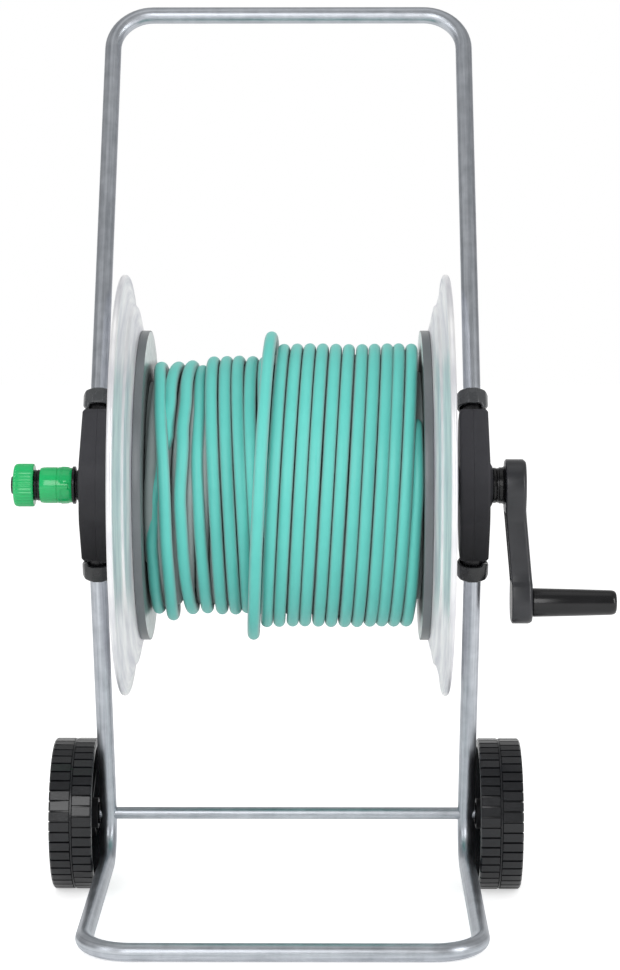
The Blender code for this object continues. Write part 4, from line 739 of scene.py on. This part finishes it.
# Painted light: the sides that each turn hides from the outside, down in the grooves, are painted pale grey
# so the grooves look lit.
unrolled = add(tree, "SeparateXYZ", {}, {0: place.outputs["UV"]})
angle = add(tree, "Math", {"operation": "DIVIDE", 1: HOSE_R}, {0: unrolled.outputs["X"]})
outside = add(tree, "Math", {"operation": "COSINE"}, {0: angle.outputs[0]})
painted_groove_light = add(tree, "MapRange", {"From Min": 0.86, "From Max": 0.10}, {"Value": outside.outputs[0]})
skin = add(tree, "Mix", {"data_type": "RGBA", 7: colour("A0B2B0")},
           {0: painted_groove_light.outputs[0], 6: tone.outputs[2]})
shine = add(tree, "MapRange", {"To Min": 0.36, "To Max": 0.50}, {"Value": cloud.outputs["Fac"]})
weave = add(tree, "Bump", {"Strength": 0.4, "Distance": 0.00006}, {"Height": fibres.outputs["Fac"]})
shader = add(tree, "BsdfPrincipled", {"IOR": 1.53}, {
    "Base Color": skin.outputs[2], "Roughness": shine.outputs[0], "Normal": weave.outputs[0]})
add(tree, "OutputMaterial", {}, {"Surface": shader.outputs[0]})

# The same PVC below, painted a pale grey-green and quite matt so that the shaded lower turns still read
# mid-grey: painted light.
hose_painted_pale = cloudy("painted_pale_green_pvc", (60.0, 3.0), ("98A6A5", "AEBCBB"), None,
                      {"IOR": 1.53, "Roughness": 0.6})

LAYER_R = 0.1170
LAYER_STEP = 0.0120
LEFT_LOOPS = 8
# Where turn 0 lies in the slack layer and turn 20 in the tight one, and how far each turn moves on.
SLACK_X = -0.1193
SLACK_PITCH = 0.0125
TIGHT_X = 0.1193
TIGHT_PITCH = 0.01207
# Where single turns were pulled aside or lie deeper: (turn, sideways mm, outwards mm).
STRAYS = [
    (-0.62, 2.0, 3.0), (-0.50, 3.6, 6.5), (-0.34, 5.6, 5.0), (-0.23, 7.0, 4.5), (-0.12, 4.8, 0.0),
    (0.00, 1.6, -5.5), (0.25, -10.5, 0.0), (0.50, -23.0, 0.0), (0.60, -22.5, -1.5), (0.67, -21.6, -5.5),
    (0.73, -18.0, -9.5), (0.79, -8.0, -9.0), (0.83, -1.0, -4.5), (0.88, 1.6, 0.0), (1.00, 5.2, -5.0),
    (1.25, 1.0, 0.0), (1.50, -2.9, 0.0), (1.66, -5.0, 0.5), (1.73, -4.6, 1.0), (1.82, 0.4, 1.0),
    (1.88, 3.7, 0.5), (2.00, 6.2, -3.5), (2.25, 2.0, 0.0), (2.50, -2.0, -1.0), (2.69, -1.3, -3.0),
    (2.77, -0.7, -4.5), (2.88, 3.0, -6.5),
    (3.00, 3.2, -8.0), (3.25, 0.0, 0.0), (3.50, -0.2, 0.0), (3.75, 2.0, 0.0), (4.00, 1.7, 0.0),
    (4.50, -0.2, 0.5), (4.75, 1.4, 0.0), (5.00, 1.0, 0.0), (5.50, -1.4, -0.5), (5.72, 1.5, 0.0),
    (6.00, 0.7, 0.3), (6.50, -0.6, 0.0), (6.82, -1.1, 0.0), (7.00, 0.5, 0.0), (7.50, 0.0, 0.0),
    (10.0, 0.4, 0.0), (13.0, 0.7, 0.0), (15.0, 1.4, 0.0), (17.0, 1.8, 0.0), (18.0, 1.2, 0.0),
    (19.0, 0.5, 0.0), (20.0, -0.2, 0.0), (20.6, -0.2, -0.5), (20.74, -1.2, -3.5), (20.86, -5.8, -9.0),
    (21.20, -10.0, -12.0)]


def stray(turn):
    """How far aside and outwards the hose lies at a turn, in metres."""
    for (t0, x0, r0), (t1, x1, r1) in zip(STRAYS, STRAYS[1:]):
        if t0 <= turn <= t1:
            share = smoothstep(turn, t0, t1)
            return (x0 + (x1 - x0) * share) / 1000, (r0 + (r1 - r0) * share) / 1000
    return 0.0, 0.0


def hose_point(turn):
    """Turn 0 is at the top; the hose runs down the back and up the front."""
    first = smoothstep(turn, LEFT_LOOPS, LEFT_LOOPS + 0.17)
    second = smoothstep(turn, LEFT_LOOPS + 0.33, LEFT_LOOPS + 0.5)
    fall = smoothstep(turn, LEFT_LOOPS + 1.33, LEFT_LOOPS + 1.5)
    aside, out = stray(turn)
    radius = LAYER_R + LAYER_STEP * (first + second - fall) + out
    radius += 0.0004 * math.sin(turn * 5.3 + 1.0)
    lean = math.cos(math.tau * turn) - 1
    left = SLACK_X + SLACK_PITCH * turn - 0.0079 * lean
    right = TIGHT_X + TIGHT_PITCH * (turn - 20) + 0.0054 * lean
    share = smoothstep(turn, LEFT_LOOPS + 0.10, LEFT_LOOPS + 0.33)
    x = left + (right - left) * share + aside + 0.0003 * math.sin(turn * 2.9)
    angle = math.tau * turn
    return REEL + Vector((x, radius * math.sin(angle), radius * math.cos(angle)))


def dive(turn, heading):
    """The bend by which an end leaves the layer and goes straight down into the winding."""
    point = hose_point(turn)
    along = (hose_point(turn + heading * 0.01) - point).normalized()
    inward = REEL - point
    inward.x = 0.0
    inward = (inward - along * inward.dot(along)).normalized()
    bend = 0.020
    points = [point + along * bend * math.sin(a) + inward * bend * (1 - math.cos(a))
              for a in (math.pi / 2 * i / 10 for i in range(1, 11))]
    return points + [points[-1] + inward * 2 * HOSE_R]


def from_axis(point):
    """The way outwards from the reel's axis at a point."""
    return Vector((0.0, point.y - REEL.y, point.z - REEL.z)).normalized()


START, END = -0.62, 20.82
count = int((END - START) * 90)
run = [hose_point(START + (END - START) * i / count) for i in range(count + 1)]
winding = tube("hose_winding_outer", dive(START, -1)[::-1] + run + dive(END, 1), HOSE_R, 20, from_axis)
fit(winding, hose_pvc, "reel", "hose_skin", "hose_winding")


def under_point(turn, radius, start_x, pitch, lean_size):
    """A point of a winding below the outer layer, which never cuts into the left disc."""
    angle = math.tau * turn
    x = max(start_x + pitch * turn + lean_size * math.cos(angle), HOSE_R - DISC_INNER)
    return REEL + Vector((x, radius * math.sin(angle), radius * math.cos(angle)))


POINTS_A_TURN = 60
left_under = [under_point(i / POINTS_A_TURN, LAYER_R - 0.0090, -0.1187, 0.0124, 0.003)
              for i in range(-21, 9 * POINTS_A_TURN)]
right_under = [under_point(i / POINTS_A_TURN, LAYER_R + LAYER_STEP - 0.0104, -0.0040, 0.0121, -0.003)
               for i in range(10 * POINTS_A_TURN)]
for name, points in (("hose_winding_under_left", left_under), ("hose_winding_under_right", right_under)):
    fit(tube(name, points, HOSE_R, 12), hose_painted_pale, "reel", "hose_below")
CORE_END = DISC_INNER - 0.0004
under_core = turned("hose_core_wound", [
    (0.1080, CORE_END), (0.1080, -0.004), (0.0985, -0.006), (0.0985, -CORE_END),
    (0.0705, -CORE_END), (0.0705, CORE_END)], steps=96)
fit(under_core, hose_painted_pale, "reel", "hose_below", "hose_core")


# Crank on the right: a black moulded arm with a channel on its reel side, on a stepped hub,
# and a smooth round grip that turns on its pin.

# Polished polypropylene for the grip: black, smooth, and so faintly scuffed that the gloss is even.
grip_plastic = cloudy("polished_black_polypropylene", (60.0, 1.0), ("0C0C0E", "18181A"), (0.20, 0.26),
                      {"IOR": 1.49})

# Glass-filled nylon for the arm: dark grey more than black, with flow marks of about 20 mm and
# a finely pitted skin.
crank_nylon = cloudy("glass_filled_black_nylon", (50.0, 4.0), ("222326", "333438"), (0.26, 0.38),
                     {"IOR": 1.53}, relief=(0.3, 0.00004), grain=1500.0)

CRANK_R = 0.112
BUSH_END = BOSS_X + 0.0003 + 0.0028
CRANK_HUB = BUSH_END + 0.0004
CRANK_INNER = CRANK_HUB + 0.0080
CRANK_OUTER = CRANK_INNER + 0.0200
CRANK_DRIFT = 0.0065
HEAD_R = 0.0250
END_R = 0.0200
GRIP_X = CRANK_OUTER + CRANK_DRIFT + 0.0004
CRANK_AXIS = REEL - Vector((0.0, 0.0, CRANK_R))

bush = turned("crank_bush_turned", rounded([
    (0.0084, BRACKET_INNER), (0.0120, BRACKET_INNER), (0.0120, BOSS_X + 0.0003),
    (0.0169, BOSS_X + 0.0003), (0.0169, BUSH_END), (0.0084, BUSH_END)], 0.0005, 2))
fit(bush, black_acetal, "chassis", "bracket_plastic", "crank_bush")


def arm_half_width(z):
    """Half the arm's width from its head down to its round lower end."""
    if z > 0.0:
        return math.sqrt(max(HEAD_R ** 2 - z * z, 0.0))
    if z < -CRANK_R:
        return math.sqrt(max(END_R ** 2 - (z + CRANK_R) ** 2, 0.0))
    waist = 0.0150
    near_head = 1 - smoothstep(-z, 0.004, 0.034)
    near_end = smoothstep(-z, CRANK_R - 0.030, CRANK_R - 0.002)
    return waist + (HEAD_R - waist) * near_head + (END_R - waist) * near_end


def drift(z):
    """How far the arm has cranked outwards at a height."""
    return CRANK_DRIFT * min(max((-z / CRANK_R - 0.20) / 0.64, 0.0), 1.0)


arm_rows = []
heights = [HEAD_R - 0.00005] + [HEAD_R * math.sin(math.pi / 2 * (1 - i / 10)) for i in range(1, 10)]
heights += [-CRANK_R * i / 44 for i in range(0, 45)]
heights += [-CRANK_R - END_R * math.sin(math.pi / 2 * i / 10) for i in range(1, 10)]
heights += [-CRANK_R - END_R + 0.00005]
for z in heights:
    half = max(arm_half_width(z), 0.0010) + 0.0012 * smoothstep(-z, CRANK_R - 0.0195, CRANK_R - 0.0180)
    edge_z = min(HEAD_R - z, z + CRANK_R + END_R)
    round_off = 0.0030 * (1 - min(edge_z / 0.0036, 1.0)) ** 2
    inner_x = CRANK_INNER + drift(z) + round_off * 0.4
    outer_x = CRANK_OUTER + drift(z) - round_off
    in_channel = -CRANK_R + 0.0225 < z < -0.0265
    middle_x = (inner_x + outer_x) / 2
    near = rounded([(inner_x, 0.0), (inner_x, -half), (middle_x, -half)], min(0.0020, half * 0.8), 4, False)
    far = rounded([(middle_x, -half), (outer_x, -half), (outer_x, half), (middle_x, half)],
                  min(0.0064, half * 0.8), 6, False)
    corner = near[1:-1] + far[1:-1] + [(x, -y) for x, y in reversed(near[1:-1])]
    depth = 0.0130 if in_channel else 0.0
    wall = 0.0030
    outline = corner + [(inner_x, half - wall), (inner_x + depth, half - wall - depth * 0.06),
                        (inner_x + depth, -half + wall + depth * 0.06), (inner_x, -half + wall)]
    arm_rows.append([REEL + Vector((x, y, z)) for x, y in outline])
arm = lofted("crank_arm_moulded", arm_rows, 40)
fit(arm, crank_nylon, "reel", "bracket_plastic", "crank_arm")
arm_hub = turned("crank_arm_hub", rounded([
    (0.0083, CRANK_HUB), (0.0165, CRANK_HUB), (0.0165, CRANK_HUB + 0.0022), (0.0173, CRANK_HUB + 0.0024),
    (0.0173, CRANK_INNER - 0.0022), (0.0213, CRANK_INNER + 0.0024), (0.0213, CRANK_INNER + 0.004),
    (0.0083, CRANK_INNER + 0.004)], 0.0006, 2), steps=72)
fit(arm_hub, black_acetal, "reel", "bracket_plastic")
end_boss = turned("crank_arm_end_boss", rounded([
    (0.0, CRANK_INNER + CRANK_DRIFT + 0.001), (0.0150, CRANK_INNER + CRANK_DRIFT + 0.001),
    (0.0150, CRANK_OUTER + CRANK_DRIFT + 0.0002), (0.0, CRANK_OUTER + CRANK_DRIFT + 0.0002)], 0.0006, 2),
    axis=CRANK_AXIS)
fit(end_boss, crank_nylon, "reel", "bracket_plastic")

GRIP_TIP = GRIP_X + 0.0803
grip = turned(
    "grip_moulded",
    from_x(GRIP_TIP, (0.0, 0), (0.0062, 0), (0.0086, -0.0003), (0.0102, -0.0010), (0.0112, -0.0024),
           (0.0117, -0.0042), (0.0119, -0.0060))
    + from_x(GRIP_X, (0.0129, 0.0400), (0.0138, 0.0012), (0.0135, 0.0003), (0.0128, 0), (0.0046, 0))
    + from_x(GRIP_TIP, (0.0046, -0.0051), (0.0, -0.0051)), axis=CRANK_AXIS, steps=72)
fit(grip, grip_plastic, "grip", "grip_plastic", "grip")


# Wheels: 148 mm hard plastic, moulded in one piece with two rows of tread lugs set half a
# pitch apart, a thin ridge between the rows, a web and six ribs on the inner side.

# Moulded polypropylene for the wheels: near black, with a low gloss that shows a lamp on every
# lug, dulled in patches of about 8 mm by dust.
wheel_plastic = cloudy("moulded_dusty_polypropylene", (120.0, 6.0, 0.7), ("0E0F10", "222327"), (0.18, 0.30),
                       {"IOR": 1.49}, relief=(0.5, 0.00006), grain=1500.0)

WHEEL_R = 0.0742
WHEEL_HUB_IN = FRAME_HALF + TUBE_R + 0.0016
WHEEL_IN = WHEEL_HUB_IN + 0.0012
WHEEL_OUT = WHEEL_IN + 0.0412
WHEEL_HUB_OUT = WHEEL_HUB_IN + 0.0362
AXLE = Vector((0.0, leg_y(WHEEL_R), WHEEL_R))
HUB_R = 0.0150
WHEEL_BORE = 0.0065
LUGS = 46
LUG_SHARE = 0.87
LUG_HEIGHT = 0.0027
RIDGE = (0.0192, 0.0210)


def add_lug(build, stand, reach, half, base_r, top_r, chamfers):
    """One tread lug across the wheel: sloped flanks, its two ends chamfered by those sizes."""
    (x0, x1), (c0, c1) = reach, chamfers
    way = 1 if x1 > x0 else -1
    corners = []
    for x, r, h in ((x0, base_r, half), (x1, base_r, half), (x1, top_r - c1, half * 0.95),
                    (x1 - way * c1, top_r, half * 0.92), (x0 + way * c0, top_r, half * 0.92),
                    (x0, top_r - c0, half * 0.95)):
        corners.append([build.verts.new(stand @ Vector((x, y, r))) for y in (-h, h)])
    for (a, b), (c, d) in zip(corners, corners[1:] + corners[:1]):
        build.faces.new((a, b, d, c))
    build.faces.new([pair[0] for pair in corners])
    build.faces.new([pair[1] for pair in reversed(corners)])


for tag, side in SIDES:
    rim_in = WHEEL_R - 0.008
    web_x = WHEEL_IN + 0.028
    floor_r = WHEEL_R - LUG_HEIGHT
    rim = turned(tag + "_wheel_rim", rounded([
        (floor_r - 0.0010, WHEEL_OUT - 0.0006), (floor_r, WHEEL_OUT - 0.0020),
        (floor_r, WHEEL_IN + RIDGE[1] + 0.0004), (WHEEL_R - 0.0004, WHEEL_IN + RIDGE[1]),
        (WHEEL_R - 0.0004, WHEEL_IN + RIDGE[0]), (floor_r, WHEEL_IN + RIDGE[0] - 0.0004),
        (floor_r, WHEEL_IN + 0.0010), (floor_r - 0.0006, WHEEL_IN),
        (rim_in, WHEEL_IN), (rim_in, WHEEL_OUT - 0.0006)], 0.0003, 1), axis=AXLE, steps=184, side=side)
    fit(rim, wheel_plastic, tag + "_wheel", "wheel_plastic", tag + "_wheel")
    # The web, hub and ribs take the darker, duller bracket finish, not the wheel's own: painted shade for
    # the wheel's hollow.
    centre = turned(tag + "_wheel_centre", rounded([
        (rim_in + 0.001, web_x), (HUB_R, web_x), (HUB_R, WHEEL_HUB_IN), (WHEEL_BORE, WHEEL_HUB_IN),
        (WHEEL_BORE, WHEEL_HUB_OUT), (HUB_R, WHEEL_HUB_OUT), (HUB_R, web_x + 0.004),
        (rim_in + 0.001, web_x + 0.004)], 0.0003, 1), axis=AXLE, steps=92, side=side)
    fit(centre, bracket_plastic, tag + "_wheel", "wheel_plastic")
    build = bmesh.new()
    for row, (x_low, x_high) in enumerate(((WHEEL_IN + 0.0004, WHEEL_IN + RIDGE[0] - 0.0004),
                                           (WHEEL_IN + RIDGE[1] + 0.0004, WHEEL_OUT))):
        for i in range(LUGS):
            stand = Matrix.Translation(AXLE) @ Matrix.Rotation(math.tau * (i + 0.5 * row) / LUGS, 4, "X")
            add_lug(build, stand, (side * x_low, side * x_high), math.pi * WHEEL_R / LUGS * LUG_SHARE,
                    floor_r - 0.0006, WHEEL_R, (0.0003, 0.0016) if row else (0.0010, 0.0003))
    lugs = object_from(tag + "_wheel_tread", build, 20)
    fit(lugs, wheel_plastic, tag + "_wheel", "wheel_plastic")
    build = bmesh.new()
    for i in range(6):
        stand = Matrix.Translation(AXLE) @ Matrix.Rotation(math.tau * i / 6, 4, "X")
        low_x, high_x = sorted((side * (web_x - 0.022), side * (web_x + 0.002)))
        made = bmesh.ops.create_cube(build, size=1.0)
        for vertex in made["verts"]:
            x = low_x if vertex.co.x < 0 else high_x
            z = 0.0120 if vertex.co.z < 0 else rim_in + 0.003
            vertex.co = stand @ Vector((x, math.copysign(0.0015, vertex.co.y), z))
    ribs = object_from(tag + "_wheel_ribs", build, 20)
    fit(ribs, bracket_plastic, tag + "_wheel", "wheel_plastic")


# Axle rod: 12 mm zinc-plated steel through both legs, with a washer inside each wheel and a
# pressed cap on each end.

CAP_X = WHEEL_HUB_OUT + 0.0003
rod_end = CAP_X + 0.0060 - 0.0016
rod = tube("axle_rod_drawn", [AXLE + Vector((x, 0, 0)) for x in
           [-rod_end + 2 * rod_end * i / 12 for i in range(13)]], 0.0060, 28)
fit(rod, zinc_tube, "chassis", "zinc_tube", "axle_rod")

# Zinc-plated pressed steel: mid grey, worn and dented in spots of about 3 mm.
fastener_steel = cloudy("zinc_plated_pressed_steel", (300.0, 4.0), ("7F8388", "B4B7BC"), (0.26, 0.44),
                        {"Metallic": 1.0}, relief=(0.4, 0.00003))

# Steel for the wheel washers, painted nearly black as painted shade in the wheel's hollow, and too dull to
# show a lamp.
washer_shade_steel = cloudy("painted_shade_steel", (350.0, 3.0), ("141416", "2A2A2D"), None,
                    {"Metallic": 1.0, "Roughness": 0.75})

# Moulded nitrile rubber for the seals: charcoal and matt, with a faint bloom.
seal_rubber = cloudy("moulded_black_nitrile_rubber", (250.0, 3.0), ("141415", "242426"), None,
                     {"IOR": 1.52, "Roughness": 0.7})

for tag, side in SIDES:
    cap = turned(tag + "_axle_cap_pressed", rounded(from_x(
        CAP_X, (0.0, 0.0063), (0.0080, 0.0063), (0.0100, 0.0040), (0.0100, 0), (0.0064, 0), (0.0064, 0.0046),
        (0.0, 0.0046)), 0.0012, 3), axis=AXLE, side=side)
    fit(cap, fastener_steel, "chassis", "plain_steel", tag + "_axle_cap")

# Everything carried over from the solids gets the finish of what it is made of, except the wheel washers,
# which get near-black steel as painted shade.
dressed = {
    "plain_steel": fastener_steel, "zinc_tube": zinc_tube, "seal_rubber": seal_rubber,
    "bracket_plastic": bracket_plastic,
}
slots = {entry["node"]: entry["material_slot"] for entry in frame["record"]["subparts"]}
for name, node in frame["nodes"].items():
    if not node.hide_render and slots[name] in dressed:
        node.data.materials.clear()
        node.data.materials.append(washer_shade_steel if name.endswith("wheel_washer") else dressed[slots[name]])
